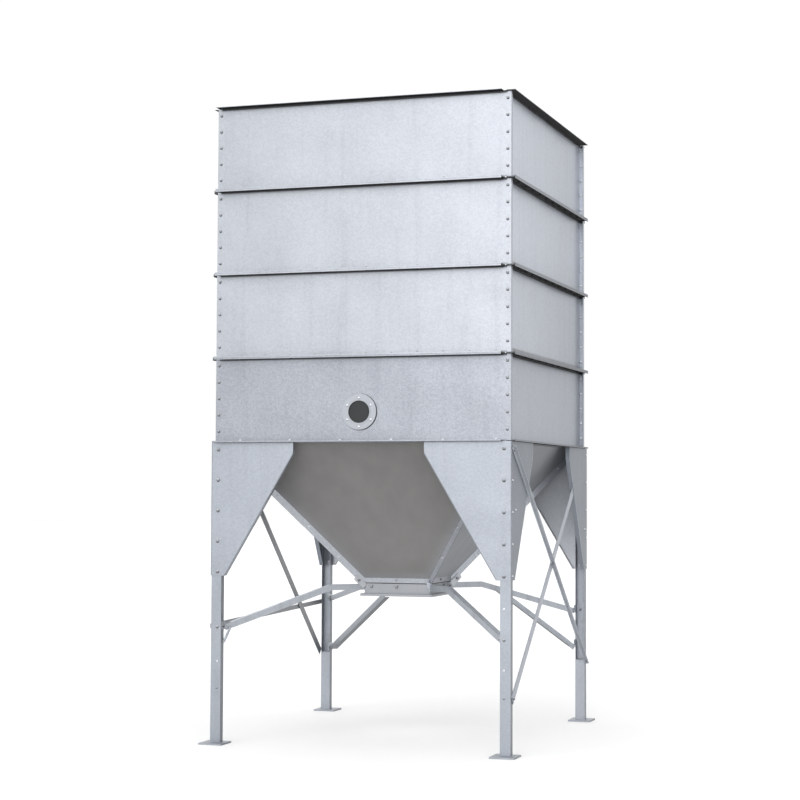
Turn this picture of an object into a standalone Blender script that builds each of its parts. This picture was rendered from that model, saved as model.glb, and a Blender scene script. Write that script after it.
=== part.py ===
"""Square galvanized steel silo on four legs, with a hopper and a square outlet.

World frame: metres, +Z up, origin on the ground in the middle of the four feet.
The front face, with the sight glass, looks along -Y. The right side is +X.
"""

import math

import bmesh
import bpy
from mathutils import Vector

# Sheet steel, the clearance between pieces that touch, and the overlap of fused parts
SHEET = 0.003
GAP = 0.0003
WELD = 0.002

# Body of four tiers of wall panels
HALF = 0.75
BODY_BOTTOM = 1.51
TIERS = 4
TIER_PITCH = 0.427
PANEL_HEIGHT = TIER_PITCH - GAP
FLANGE_REACH = 0.05
FLANGE_HEM = 0.008
FLANGE_PAST = 0.77
FLANGE_SHORT = 0.741
CORNER_REACH = 0.028
CORNER_LIP = 0.025
CORNER_NOTCH = 0.004

# Round sight glass in the lowest front panel
SIGHT_HEIGHT = 0.149
SIGHT_HOLE = 0.056
SIGHT_CUT = 0.02
SIGHT_REBATE = 0.0613
SIGHT_GLASS = 0.061
SIGHT_GLASS_DEPTH = 0.004
SIGHT_RING_INNER = 0.0575
SIGHT_RING_OUTER = 0.09
SIGHT_RING_DEPTH = 0.009
ROUND_STEPS = 48

# Hopper plates
HOPPER_TOP = BODY_BOTTOM - GAP
HOPPER_TOP_HALF = 0.727
HOPPER_BOTTOM = 0.8145
HOPPER_BOTTOM_HALF = 0.183
HOPPER_SLOPE = (HOPPER_TOP - HOPPER_BOTTOM) / (HOPPER_TOP_HALF - HOPPER_BOTTOM_HALF)
HOPPER_SHEET = SHEET / math.sin(math.atan(HOPPER_SLOPE))
LEDGE_REACH = 0.754
LEDGE_HALF = 0.72
COLLAR_BOTTOM = 0.79
FIN_REACH = 0.032
FIN_TOP = 1.46

# Outlet frame below the hopper
RING_HALF = HOPPER_BOTTOM_HALF - SHEET - GAP
RING_TOP = 0.81
RING_BOTTOM = 0.73
RING_WALL = 0.004
RIM_HALF = 0.198
RIM_BOTTOM = 0.7205

# Legs, each a channel with its open side inward and a closed lower part
LEG_X = 0.757
LEG_Y = 0.755
LEG_HALF_WIDTH = 0.027
LEG_HALF_DEPTH = 0.018
LEG_TOP = BODY_BOTTOM - GAP
POST_TOP = 0.34
PLATE = 0.008
PLATE_HALF = 0.0625
PLATE_SHIFT = 0.02

# Corner gussets between the body and the legs
GUSSET_TOP = BODY_BOTTOM - GAP
GUSSET_BOTTOM = 0.84
GUSSET_FOOT = 0.71
GUSSET_LIP = 0.022
FRONT_GUSSET_OUTER = 0.784
FRONT_GUSSET_INNER = 0.344
FRONT_GUSSET_KNEE = 1.45
FRONT_GUSSET_FACE = LEG_Y + LEG_HALF_DEPTH + GAP
SIDE_GUSSET_OUTER = 0.776
SIDE_GUSSET_INNER = 0.376
SIDE_GUSSET_KNEE = 1.445
SIDE_GUSSET_FACE = LEG_X + LEG_HALF_WIDTH + GAP

# Struts in the upright planes through the corners, from the outlet to the legs
STRUT_LEG = 0.03
STRUT_START = 0.1815
STRUT_BEND = 0.315
STRUT_END = 0.7
STRUT_TOP = 0.782
TAB_REACH = 0.05
TAB_INNER = 0.0125
TAB_OUTER = 0.0375
TAB_HEIGHT = 0.04
TONGUE = 0.0024
TONGUE_STEP = 0.001
LEG_FACE = LEG_X - LEG_HALF_WIDTH - GAP
RING_FACE = RING_HALF + GAP

# Flat bars and the angle brace on the sides
RIGHT_BRACE_WIDTH = 0.045
LEFT_BRACE_WIDTH = 0.04
BRACE_SHEET = 0.004
SLOT_PLAY = 0.002
ANGLE_BRACE = 0.018

# Faces in order from the front, with each one's turn about the upright axis
FACES = ("front", "right", "back", "left")
TURNS = (0, 90, 180, 270)

# Corners of the silo with the signs of x and y
CORNERS = (
    ("front_right", 1, -1),
    ("back_right", 1, 1),
    ("back_left", -1, 1),
    ("front_left", -1, -1),
)

# Heights where the struts meet the legs
STRUT_HEIGHTS = {
    "front_right": 0.56,
    "back_right": 0.62,
    "back_left": 0.655,
    "front_left": 0.59,
}

# Lower struts on the back legs, as (half width, z) along each one, and their layer
LOWER_STRUTS = (
    ("back_left", -1, ((0.208, 0.7042), (STRUT_END, 0.374)), 0),
    ("back_right", 1, ((0.375, 0.745), (STRUT_END, 0.431)), -1),
)

# Side bars as (x, y, z) of their two ends
RIGHT_BRACE_DOWN = ((0.7883, -0.765, 1.481), (0.7843, 0.76, 0.312))
RIGHT_BRACE_UP = ((0.7843, -0.755, 0.267), (0.7792, 0.65, 1.42))
LEFT_BRACE = ((-0.7843, 0.73, 0.341), (-0.7792, -0.5, 1.475))
LEFT_TIE = ((-0.7883, -0.765, 0.586), (-0.7883, 0.765, 0.63))
TIE_WIDTH = 0.025

# Merge distance and angle of flat faces after fusing, and the sharpest smooth edge
MERGE = 0.00003
FLAT_DEGREES = 0.5
SMOOTH_DEGREES = 40

# Colour, roughness and metallic value of each finish
STEEL_BODY = ((0.60, 0.63, 0.67), 0.42, 0.75)
STEEL_FRAME = ((0.53, 0.56, 0.60), 0.45, 0.75)
STEEL_HOPPER = ((0.44, 0.44, 0.44), 0.55, 0.65)
STEEL_RING = ((0.30, 0.31, 0.33), 0.5, 0.6)
DARK_GLASS = ((0.06, 0.065, 0.07), 0.12, 0.0)


def clear_scene():
    """Removes everything that the new file starts with."""
    for obj in list(bpy.data.objects):
        bpy.data.objects.remove(obj, do_unlink=True)


def material(name, finish):
    """Makes a Principled material from a colour, a roughness and a metallic value."""
    colour, roughness, metallic = finish
    mat = bpy.data.materials.new(name)
    mat.use_nodes = True
    shader = mat.node_tree.nodes["Principled BSDF"]
    shader.inputs["Base Color"].default_value = (*colour, 1.0)
    shader.inputs["Roughness"].default_value = roughness
    shader.inputs["Metallic"].default_value = metallic
    mat.diffuse_color = (*colour, 1.0)
    return mat


def solid(name, bm):
    """Makes a mesh object with outward normals from a bmesh."""
    bmesh.ops.recalc_face_normals(bm, faces=bm.faces)
    mesh = bpy.data.meshes.new(name)
    bm.to_mesh(mesh)
    bm.free()
    obj = bpy.data.objects.new(name, mesh)
    bpy.context.collection.objects.link(obj)
    return obj


def box(name, low, high):
    """Box between two opposite corners."""
    bm = bmesh.new()
    bmesh.ops.create_cube(bm, size=1.0)
    size = Vector(high) - Vector(low)
    bmesh.ops.scale(bm, verts=bm.verts, vec=size)
    bmesh.ops.translate(bm, verts=bm.verts, vec=Vector(low) + size / 2)
    return solid(name, bm)


def swept(name, rings):
    """Closed solid through a row of like outlines, with a flat cap at each end."""
    bm = bmesh.new()
    rows = [[bm.verts.new(point) for point in ring] for ring in rings]
    bm.faces.new(rows[0])
    bm.faces.new(rows[-1])
    count = len(rows[0])
    for near, far in zip(rows, rows[1:]):
        for i in range(count):
            j = (i + 1) % count
            bm.faces.new((near[i], near[j], far[j], far[i]))
    return solid(name, bm)


def bar(name, path, facing, outline):
    """Sweeps an outline along a path that lies in one plane, mitred at its bends.

    The outline's first value runs across the bar in that plane. Its second value
    runs along the plane's normal, on the side that facing points to.
    """
    points = [Vector(point) for point in path]
    tangents = [(b - a).normalized() for a, b in zip(points, points[1:])]
    facing = Vector(facing)
    normal = (facing - facing.dot(tangents[0]) * tangents[0]).normalized()
    sides = [normal.cross(tangent) for tangent in tangents]
    rings = []
    for i, point in enumerate(points):
        before = sides[max(i - 1, 0)]
        after = sides[min(i, len(sides) - 1)]
        mitre = (before + after).normalized()
        mitre /= mitre.dot(after)
        rings.append([point + u * mitre + v * normal for u, v in outline])
    return swept(name, rings)


def disc(name, radius, start, end, height):
    """Round solid about an axis that runs front to back, at a height."""
    bm = bmesh.new()
    for y in (start, end):
        ring = []
        for step in range(ROUND_STEPS):
            angle = math.tau * step / ROUND_STEPS
            x = radius * math.cos(angle)
            z = height + radius * math.sin(angle)
            ring.append(bm.verts.new((x, y, z)))
        bm.faces.new(ring)
    bmesh.ops.bridge_loops(bm, edges=bm.edges)
    return solid(name, bm)


def combine(target, other, operation):
    """Applies one exact Boolean to the target and removes the other object."""
    modifier = target.modifiers.new(operation.lower(), "BOOLEAN")
    modifier.operation = operation
    modifier.solver = "EXACT"
    modifier.object = other
    other.hide_render = True
    other.display_type = "WIRE"
    bpy.context.view_layer.update()
    graph = bpy.context.evaluated_depsgraph_get()
    mesh = bpy.data.meshes.new_from_object(target.evaluated_get(graph))
    target.modifiers.clear()
    before = target.data
    target.data = mesh
    bpy.data.meshes.remove(before)
    bpy.data.objects.remove(other, do_unlink=True)


def fused(name, pieces, cutters=()):
    """Joins overlapping solids into one closed body, then makes the cuts."""
    body = pieces[0]
    for piece in pieces[1:]:
        combine(body, piece, "UNION")
    for cutter in cutters:
        combine(body, cutter, "DIFFERENCE")
    bm = bmesh.new()
    bm.from_mesh(body.data)
    bmesh.ops.remove_doubles(bm, verts=bm.verts, dist=MERGE)
    flat = math.radians(FLAT_DEGREES)
    bmesh.ops.dissolve_limit(bm, angle_limit=flat, verts=bm.verts, edges=bm.edges)
    bm.to_mesh(body.data)
    bm.free()
    body.name = name
    return body


def mirrored(obj):
    """Mirrors a piece's mesh left to right and keeps its normals outward."""
    bm = bmesh.new()
    bm.from_mesh(obj.data)
    bmesh.ops.scale(bm, verts=bm.verts, vec=(-1.0, 1.0, 1.0))
    bmesh.ops.reverse_faces(bm, faces=bm.faces)
    bm.to_mesh(obj.data)
    bm.free()
    return obj


def install(obj, name, mat, parent, location=(0.0, 0.0, 0.0), turn=0.0):
    """Names a piece, gives it its material and puts it in its place."""
    obj.name = name
    obj.data.name = name
    obj.data.materials.clear()
    obj.data.materials.append(mat)
    obj.parent = parent
    obj.location = location
    obj.rotation_euler.z = math.radians(turn)
    return obj


def copied(obj):
    """Copies a piece with a mesh of its own."""
    twin = obj.copy()
    twin.data = obj.data.copy()
    bpy.context.collection.objects.link(twin)
    return twin


def wide_panel(hemmed=True):
    """Front or back wall panel, with both ends folded round the corners."""
    top = PANEL_HEIGHT
    end = HALF + CORNER_REACH
    front = -HALF - SHEET
    low = CORNER_NOTCH
    high = top - CORNER_NOTCH
    pieces = [box("sheet", (-HALF, front, 0.0), (HALF, -HALF, top))]
    for sign in (-1, 1):
        x = sorted((sign * (HALF - WELD), sign * end))
        pieces.append(box("end", (x[0], front, low), (x[1], -HALF, high)))
        x = sorted((sign * (end - SHEET), sign * end))
        pieces.append(box("lip", (x[0], front, low), (x[1], front + CORNER_LIP, high)))
    return pieces + rim_flanges(hemmed)


def rim_flanges(hemmed):
    """Flanges along a panel's lower and upper edge.

    Each passes the corner on its left and stops short of the next one on its right.
    The lower rim is turned up. The upper one is turned down where it is hemmed.
    """
    wall = -HALF - SHEET / 2
    rim = -HALF - SHEET - FLANGE_REACH
    top = PANEL_HEIGHT
    pieces = [
        box("flange", (-FLANGE_PAST, rim, 0.0), (FLANGE_SHORT, wall, SHEET)),
        box("hem", (-FLANGE_PAST, rim, 0.0), (FLANGE_SHORT, rim + SHEET, FLANGE_HEM)),
        box("flange", (-FLANGE_PAST, rim, top - SHEET), (FLANGE_SHORT, wall, top)),
    ]
    if hemmed:
        low = (-FLANGE_PAST, rim, top - FLANGE_HEM)
        pieces.append(box("hem", low, (FLANGE_SHORT, rim + SHEET, top)))
    return pieces


def narrow_panel(hemmed=True):
    """Side wall panel, with both ends folded outward behind the corner sheets."""
    top = PANEL_HEIGHT
    end = HALF - GAP
    front = -HALF - SHEET
    low = CORNER_NOTCH
    high = top - CORNER_NOTCH
    reach = -HALF - CORNER_REACH + SHEET + GAP
    pieces = [box("sheet", (-end, front, 0.0), (end, -HALF, top))]
    for sign in (-1, 1):
        x = sorted((sign * (end - SHEET), sign * end))
        pieces.append(box("end", (x[0], reach, low), (x[1], -HALF, high)))
    return pieces + rim_flanges(hemmed)


def build_body(steel, parent):
    """Four tiers of four bolted wall panels, open at the top."""
    hole = disc("hole", SIGHT_HOLE, -HALF - SIGHT_CUT, -HALF + SIGHT_CUT, SIGHT_HEIGHT)
    glazed = fused("glazed", wide_panel(), [hole])
    for tier in range(TIERS):
        hemmed = tier < TIERS - 1
        wide = fused("wide", wide_panel(hemmed))
        narrow = fused("narrow", narrow_panel(hemmed))
        front = glazed if tier == 0 else wide
        place = (0.0, 0.0, BODY_BOTTOM + tier * TIER_PITCH)
        for turn, face, pattern in zip(TURNS, FACES, (front, narrow, wide, narrow)):
            name = f"wall_{face}_{tier + 1}"
            install(copied(pattern), name, steel, parent, place, turn)
        for pattern in (wide, narrow):
            bpy.data.objects.remove(pattern, do_unlink=True)
    bpy.data.objects.remove(glazed, do_unlink=True)


def build_sight_glass(steel, glass, parent):
    """Round glass held against the lowest front panel by a bolted ring."""
    height = BODY_BOTTOM + SIGHT_HEIGHT
    back = -HALF - SHEET - GAP
    front = back - SIGHT_RING_DEPTH
    pane_front = back - SIGHT_GLASS_DEPTH
    ring = disc("ring", SIGHT_RING_OUTER, back, front, height)
    bore = disc("bore", SIGHT_RING_INNER, back + WELD, front - WELD, height)
    rebate = disc("rebate", SIGHT_REBATE, back + WELD, pane_front - GAP, height)
    ring = fused("ring", [ring], [bore, rebate])
    pane = disc("pane", SIGHT_GLASS, back, pane_front, height)
    for obj in (ring, pane):
        obj.data.shade_smooth()
        obj.data.set_sharp_from_angle(angle=math.radians(SMOOTH_DEGREES))
    install(ring, "sight_glass_ring", steel, parent)
    install(pane, "sight_glass_pane", glass, parent)


def hopper_half(z):
    """Outer half width of the hopper at a height."""
    return HOPPER_TOP_HALF - (HOPPER_TOP - z) / HOPPER_SLOPE


def hopper_plate():
    """Front hopper plate with mitred ends, collar, ledge and two corner fins."""
    kink = HOPPER_BOTTOM + (HOPPER_SHEET - SHEET) * HOPPER_SLOPE
    profile = [
        (HOPPER_TOP_HALF, HOPPER_TOP),
        (HOPPER_BOTTOM_HALF, HOPPER_BOTTOM),
        (HOPPER_BOTTOM_HALF, COLLAR_BOTTOM),
        (HOPPER_BOTTOM_HALF - SHEET, COLLAR_BOTTOM),
        (HOPPER_BOTTOM_HALF - SHEET, kink),
        (HOPPER_TOP_HALF - HOPPER_SHEET, HOPPER_TOP),
    ]
    plate = swept("plate", [[(s * (a - GAP), -a, z) for a, z in profile] for s in (-1, 1)])
    ledge_back = -HOPPER_TOP_HALF + SHEET
    ledge = box(
        "ledge",
        (-LEDGE_HALF, -LEDGE_REACH, HOPPER_TOP - SHEET),
        (LEDGE_HALF, ledge_back, HOPPER_TOP),
    )
    fin = [
        (hopper_half(FIN_TOP) - WELD, FIN_TOP),
        (hopper_half(FIN_TOP) + FIN_REACH, FIN_TOP),
        (hopper_half(COLLAR_BOTTOM) + FIN_REACH, COLLAR_BOTTOM),
        (HOPPER_BOTTOM_HALF - WELD, COLLAR_BOTTOM),
        (HOPPER_BOTTOM_HALF - WELD, HOPPER_BOTTOM),
    ]
    shift = SHEET / math.sqrt(2)
    pieces = [plate, ledge]
    for sign in (-1, 1):
        rings = []
        for step in (0.0, shift):
            rings.append([(sign * (a - GAP - step), -a - step, z) for a, z in fin])
        pieces.append(swept("fin", rings))
    return pieces


def build_hopper(steel, parent):
    """Four hopper plates, bolted to each other through their corner fins."""
    plate = fused("plate", hopper_plate())
    for turn, face in zip(TURNS, FACES):
        install(copied(plate), f"hopper_{face}", steel, parent, turn=turn)
    bpy.data.objects.remove(plate, do_unlink=True)


def square_tube(name, outer, inner, bottom, top):
    """Square frame with a square hole, open at the top and the bottom."""
    shell = box(name, (-outer, -outer, bottom), (outer, outer, top))
    hole = box("hole", (-inner, -inner, bottom - WELD), (inner, inner, top + WELD))
    combine(shell, hole, "DIFFERENCE")
    return shell


def build_outlet(steel, parent):
    """Square outlet frame inside the hopper's collar, with a rim turned down."""
    inner = RING_HALF - RING_WALL
    pieces = [
        square_tube("ring", RING_HALF, inner, RING_BOTTOM, RING_TOP),
        square_tube("rim", RIM_HALF, inner, RING_BOTTOM, RING_BOTTOM + SHEET),
        square_tube("lip", RIM_HALF, RIM_HALF - SHEET, RIM_BOTTOM, RING_BOTTOM + SHEET),
    ]
    install(fused("outlet", pieces), "outlet_frame", steel, parent)


def leg():
    """Front leg about its own upright axis, with its foot plate."""
    wide = LEG_HALF_WIDTH
    deep = LEG_HALF_DEPTH
    foot = PLATE / 2
    pieces = [box("web", (-wide, -deep, foot), (wide, -deep + SHEET, LEG_TOP))]
    for sign in (-1, 1):
        x = sorted((sign * (wide - SHEET), sign * wide))
        pieces.append(box("flange", (x[0], -deep, foot), (x[1], deep, LEG_TOP)))
        x = sorted((sign * (wide - 2 * SHEET), sign * (wide - SHEET / 2)))
        pieces.append(box("sleeve", (x[0], -deep + 2 * SHEET, foot), (x[1], deep, POST_TOP)))
    pieces.append(box("cover", (-wide + SHEET, deep - SHEET, foot), (wide - SHEET, deep, POST_TOP)))
    pieces.append(
        box(
            "plate",
            (-PLATE_HALF, -PLATE_HALF - PLATE_SHIFT, 0.0),
            (PLATE_HALF, PLATE_HALF - PLATE_SHIFT, PLATE),
        )
    )
    return pieces


def build_legs(steel, parent):
    """Four legs under the corners of the body."""
    pattern = fused("leg", leg())
    for name, sx, sy in CORNERS:
        turn = 0 if sy < 0 else 180
        place = (sx * LEG_X, sy * LEG_Y, 0.0)
        install(copied(pattern), f"leg_{name}", steel, parent, place, turn)
    bpy.data.objects.remove(pattern, do_unlink=True)


def gusset(outer, inner, knee, face, fold_end, passing=None):
    """Gusset plate right of the middle, with its top and its free edge folded inward.

    The folded edge has a slot for the flat brace that is given as passing, which is
    its two ends and its width.
    """
    outline = [
        (outer, GUSSET_TOP),
        (inner, GUSSET_TOP),
        (inner, knee),
        (GUSSET_FOOT, GUSSET_BOTTOM),
        (outer, GUSSET_BOTTOM),
    ]
    front = -face - SHEET
    plate = swept("plate", [[(x, y, z) for x, z in outline] for y in (front, -face)])
    edge = [(x, front, z) for x, z in ((fold_end, GUSSET_TOP), *outline[1:4])]
    lip = bar("lip", edge, (0.0, 1.0, 0.0), rectangle(-SHEET, 0.0, 0.0, GUSSET_LIP))
    cutters = [slot_cutter(*passing)] if passing else []
    return fused("gusset", [plate, lip], cutters)


def slot_cutter(ends, width):
    """Flat bar a little larger than the brace between two ends."""
    half = width / 2 + SLOT_PLAY
    outline = rectangle(-half, half, -SLOT_PLAY, BRACE_SHEET + GAP)
    return bar("slot", ends, (0.0, -1.0, 0.0), outline)


def in_front_frame(points, turn):
    """Turns world points into the frame of a piece that is drawn at the front."""
    if turn == 90:
        return [(y, -x, z) for x, y, z in points]
    return [(-y, x, z) for x, y, z in points]


def rectangle(u0, u1, v0, v1):
    """Outline of a rectangle."""
    return [(u0, v0), (u1, v0), (u1, v1), (u0, v1)]


def flat_outline(width):
    """Outline of a flat bar."""
    return rectangle(-width / 2, width / 2, 0.0, BRACE_SHEET)


def angle_outline(across, out):
    """Outline of an angle: one leg in the bar's plane, one standing out at its edge."""
    low = -across / 2
    high = across / 2
    return [
        (low, 0.0),
        (high, 0.0),
        (high, out),
        (high - SHEET, out),
        (high - SHEET, SHEET),
        (low, SHEET),
    ]


def build_gussets(steel, parent):
    """Eight gussets, two at each corner, between the body and the leg."""
    front = (
        FRONT_GUSSET_OUTER,
        FRONT_GUSSET_INNER,
        FRONT_GUSSET_KNEE,
        FRONT_GUSSET_FACE,
        LEG_X - LEG_HALF_WIDTH - WELD,
    )
    side = (
        SIDE_GUSSET_OUTER,
        SIDE_GUSSET_INNER,
        SIDE_GUSSET_KNEE,
        SIDE_GUSSET_FACE,
        LEG_Y - LEG_HALF_DEPTH - WELD,
    )
    install(gusset(*front), "gusset_front_right", steel, parent)
    install(mirrored(gusset(*front)), "gusset_front_left", steel, parent)
    install(gusset(*front), "gusset_back_left", steel, parent, turn=180)
    install(mirrored(gusset(*front)), "gusset_back_right", steel, parent, turn=180)
    right_pass = (in_front_frame(RIGHT_BRACE_UP, 90), RIGHT_BRACE_WIDTH)
    left_pass = (in_front_frame(LEFT_BRACE, 270), LEFT_BRACE_WIDTH)
    install(mirrored(gusset(*side)), "gusset_right_front", steel, parent, turn=90)
    install(gusset(*side, right_pass), "gusset_right_back", steel, parent, turn=90)
    install(gusset(*side, left_pass), "gusset_left_front", steel, parent, turn=270)
    install(mirrored(gusset(*side)), "gusset_left_back", steel, parent, turn=270)


def strut_outline(edge, layer):
    """Outline of a strut: an upright leg, and a flat leg out from one of its edges.

    Layer 0 has its upright leg in the plane through the corner. In layer -1 it lies
    behind that plane, and the flat leg points the other way.
    """
    back = -SHEET / 2 + layer * (SHEET + GAP)
    front = back + SHEET
    inner = edge - math.copysign(SHEET, edge)
    if layer == 0:
        return [
            (-edge, back),
            (edge, back),
            (edge, back + STRUT_LEG),
            (inner, back + STRUT_LEG),
            (inner, front),
            (-edge, front),
        ]
    return [
        (-edge, front),
        (edge, front),
        (edge, front - STRUT_LEG),
        (inner, front - STRUT_LEG),
        (inner, back),
        (-edge, back),
    ]


def strut_tongue(sx, sy, points, layer):
    """Flat end of a strut, from its last point to the tab on the leg."""
    (a0, z0), (a1, z1) = points[-2:]
    slope = (z1 - z0) / (a1 - a0)
    start = a1 - TAB_REACH / 2
    end = LEG_FACE - SHEET / 2 + layer * (SHEET + GAP) / math.sqrt(2)
    ends = [(a, z1 + slope * (a - a1)) for a in (start, end)]
    centre = layer * (SHEET + GAP)
    half = STRUT_LEG / 2 - TONGUE_STEP
    outline = rectangle(-half, half, centre - TONGUE / 2, centre + TONGUE / 2)
    return bar("tongue", corner_path(sx, sy, ends), (-sx * sy, 1.0, 0.0), outline)


def leg_tab(sx, sy, z):
    """End tab of a strut, flat on the leg's inner side."""
    x = sorted((sx * (LEG_FACE - SHEET), sx * LEG_FACE))
    y = sorted((sy * (LEG_FACE - TAB_INNER), sy * (LEG_FACE + TAB_OUTER)))
    half = TAB_HEIGHT / 2
    return box("tab", (x[0], y[0], z - half), (x[1], y[1], z + half))


def ring_tab(sx, sy):
    """End tab of a strut, flat on the outlet frame's side."""
    x = sorted((sx * RING_FACE, sx * (RING_FACE + SHEET)))
    y = sorted((sy * (RING_FACE - TAB_REACH), sy * (RING_FACE + SHEET + WELD)))
    return box("tab", (x[0], y[0], STRUT_TOP - STRUT_LEG), (x[1], y[1], STRUT_TOP))


def corner_path(sx, sy, points):
    """Points in the upright plane through the silo's axis and one corner."""
    return [(sx * half, sy * half, z) for half, z in points]


def build_struts(steel, parent):
    """Bent angles from the corners of the outlet frame to the legs."""
    half = STRUT_LEG / 2
    for name, sx, sy in CORNERS:
        end_z = STRUT_HEIGHTS[name]
        level = STRUT_TOP - half
        points = [(STRUT_START, level), (STRUT_BEND, level), (STRUT_END, end_z)]
        facing = (-sx * sy, 1.0, 0.0)
        path = corner_path(sx, sy, points)
        edge = half * upper_side(path, facing)
        pieces = [
            bar("angle", path, facing, strut_outline(edge, 0)),
            strut_tongue(sx, sy, points, 0),
            leg_tab(sx, sy, end_z),
            ring_tab(sx, sy),
        ]
        install(fused(name, pieces), f"strut_{name}", steel, parent)


def upper_side(path, facing):
    """Sign of the outline's first value along the bar's upper edge."""
    tangent = Vector(path[1]) - Vector(path[0])
    return 1 if Vector(facing).cross(tangent).z > 0 else -1


def build_lower_struts(steel, parent):
    """Straight angles low on the two back legs."""
    half = STRUT_LEG / 2
    for name, sx, points, layer in LOWER_STRUTS:
        facing = (-sx, 1.0, 0.0)
        path = corner_path(sx, 1, points)
        edge = -half * upper_side(path, facing)
        pieces = [
            bar("angle", path, facing, strut_outline(edge, layer)),
            strut_tongue(sx, 1, points, layer),
            leg_tab(sx, 1, points[-1][1]),
        ]
        if layer == 0:
            pieces.append(rim_tab(sx))
        install(fused(name, pieces), f"strut_low_{name}", steel, parent)


def rim_tab(sx):
    """End tab of the lower strut, flat under the outlet rim's corner."""
    x = sorted((sx * (RIM_HALF - TAB_REACH / 2), sx * (RIM_HALF + TAB_REACH / 2)))
    top = RIM_BOTTOM - GAP
    low = (x[0], RIM_HALF - TAB_REACH / 2, top - SHEET)
    return box("tab", low, (x[1], RIM_HALF + TAB_REACH / 2, top))


def build_side_bars(steel, parent):
    """Crossed braces on the right, one brace and one tie on the left."""
    down = bar("down", RIGHT_BRACE_DOWN, (1.0, 0.0, 0.0), angle_outline(ANGLE_BRACE, ANGLE_BRACE))
    up = bar("up", RIGHT_BRACE_UP, (1.0, 0.0, 0.0), flat_outline(RIGHT_BRACE_WIDTH))
    left = bar("left", LEFT_BRACE, (-1.0, 0.0, 0.0), flat_outline(LEFT_BRACE_WIDTH))
    tie = bar("tie", LEFT_TIE, (-1.0, 0.0, 0.0), flat_outline(TIE_WIDTH))
    install(down, "brace_right_down", steel, parent)
    install(up, "brace_right_up", steel, parent)
    install(left, "brace_left", steel, parent)
    install(tie, "tie_left", steel, parent)


def main():
    """Builds every piece of the silo under one empty."""
    clear_scene()
    silo = bpy.data.objects.new("silo", None)
    bpy.context.collection.objects.link(silo)
    body = material("body_steel", STEEL_BODY)
    frame = material("frame_steel", STEEL_FRAME)
    hopper = material("hopper_steel", STEEL_HOPPER)
    ring = material("ring_steel", STEEL_RING)
    glass = material("dark_glass", DARK_GLASS)
    build_body(body, silo)
    build_sight_glass(ring, glass, silo)
    build_hopper(hopper, silo)
    build_outlet(frame, silo)
    build_legs(frame, silo)
    build_gussets(frame, silo)
    build_struts(frame, silo)
    build_lower_struts(frame, silo)
    build_side_bars(frame, silo)


if __name__ == "__main__":
    main()
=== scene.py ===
"""Finished look of a square galvanized steel silo on four braced legs.

Metres, +Z up. The front with the sight glass looks along -Y and +X is the right
side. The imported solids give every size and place: the sheet pieces are softened
copies of them, and fasteners, seams and finishes are added to those.
"""

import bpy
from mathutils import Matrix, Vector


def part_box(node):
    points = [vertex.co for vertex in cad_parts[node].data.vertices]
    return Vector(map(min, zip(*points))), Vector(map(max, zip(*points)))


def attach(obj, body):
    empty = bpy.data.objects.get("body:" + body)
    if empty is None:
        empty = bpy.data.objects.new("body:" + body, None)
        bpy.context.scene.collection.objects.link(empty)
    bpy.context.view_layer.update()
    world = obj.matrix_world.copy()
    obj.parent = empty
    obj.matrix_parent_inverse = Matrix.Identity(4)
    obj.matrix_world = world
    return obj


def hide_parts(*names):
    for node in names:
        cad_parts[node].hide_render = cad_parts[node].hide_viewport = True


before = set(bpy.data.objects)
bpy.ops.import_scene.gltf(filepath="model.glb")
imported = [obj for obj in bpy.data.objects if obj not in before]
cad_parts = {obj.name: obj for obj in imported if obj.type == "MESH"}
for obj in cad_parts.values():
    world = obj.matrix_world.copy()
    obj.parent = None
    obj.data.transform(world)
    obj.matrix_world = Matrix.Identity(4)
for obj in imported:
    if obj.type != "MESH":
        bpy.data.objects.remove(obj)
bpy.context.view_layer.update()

import contextlib
import functools
import logging
import math
from dataclasses import dataclass, field
from enum import Enum
from typing import Any, Iterable, Iterator, Sequence

import bpy
from mathutils import Matrix, Vector

LOG = logging.getLogger("silo")
BODY = "root"
MERGE = 0.00005
FLAT_DEGREES = 1.0
DRILL_REACH = 0.006
DRILL_SIDES = 16
HOOP_SIDES = 48
FIRST_SPIN = 0.37
SPIN_STEP = 1.9
FACES = ("front", "right", "back", "left")
WIDE_FACES = ("front", "back")
TIERS = (1, 2, 3, 4)
CORNERS = {
    "front_right": (1, -1),
    "back_right": (1, 1),
    "back_left": (-1, 1),
    "front_left": (-1, -1),
}

Colour = tuple[float, float, float]
Size = tuple[float, float, float, float]
Point = tuple[float, float, float]
Spot = tuple[Vector, Vector]


# Modelling by hand: selection, edit mode and modifiers


def deselect() -> None:
    """Leaves nothing selected."""
    bpy.ops.object.select_all(action="DESELECT")


def activate(*objects: bpy.types.Object) -> None:
    """Selects these objects alone, with the first one active.

    Args:
        objects: The objects to select.
    """
    deselect()
    for obj in objects:
        obj.select_set(True)
    bpy.context.view_layer.objects.active = objects[0]


@contextlib.contextmanager
def editing(obj: bpy.types.Object, mode: str = "FACE") -> Iterator[None]:
    """Puts an object in edit mode for as long as the block runs.

    Args:
        obj: The object to edit.
        mode: VERT, EDGE or FACE, the kind of element that is selected.
    """
    activate(obj)
    bpy.ops.object.mode_set(mode="EDIT")
    bpy.ops.mesh.select_mode(type=mode)
    try:
        yield
    finally:
        bpy.ops.object.mode_set(mode="OBJECT")


def pick_top(obj: bpy.types.Object) -> None:
    """Selects the faces that look up, and no others."""
    for item in (*obj.data.vertices, *obj.data.edges):
        item.select = False
    for face in obj.data.polygons:
        face.select = face.normal.z > 0.9


def pick_uprights(obj: bpy.types.Object) -> None:
    """Selects the edges that stand upright, and no others."""
    points = obj.data.vertices
    for item in (*points, *obj.data.polygons):
        item.select = False
    for edge in obj.data.edges:
        run = points[edge.vertices[0]].co - points[edge.vertices[1]].co
        edge.select = abs(run.z) > 0.9 * run.length


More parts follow.
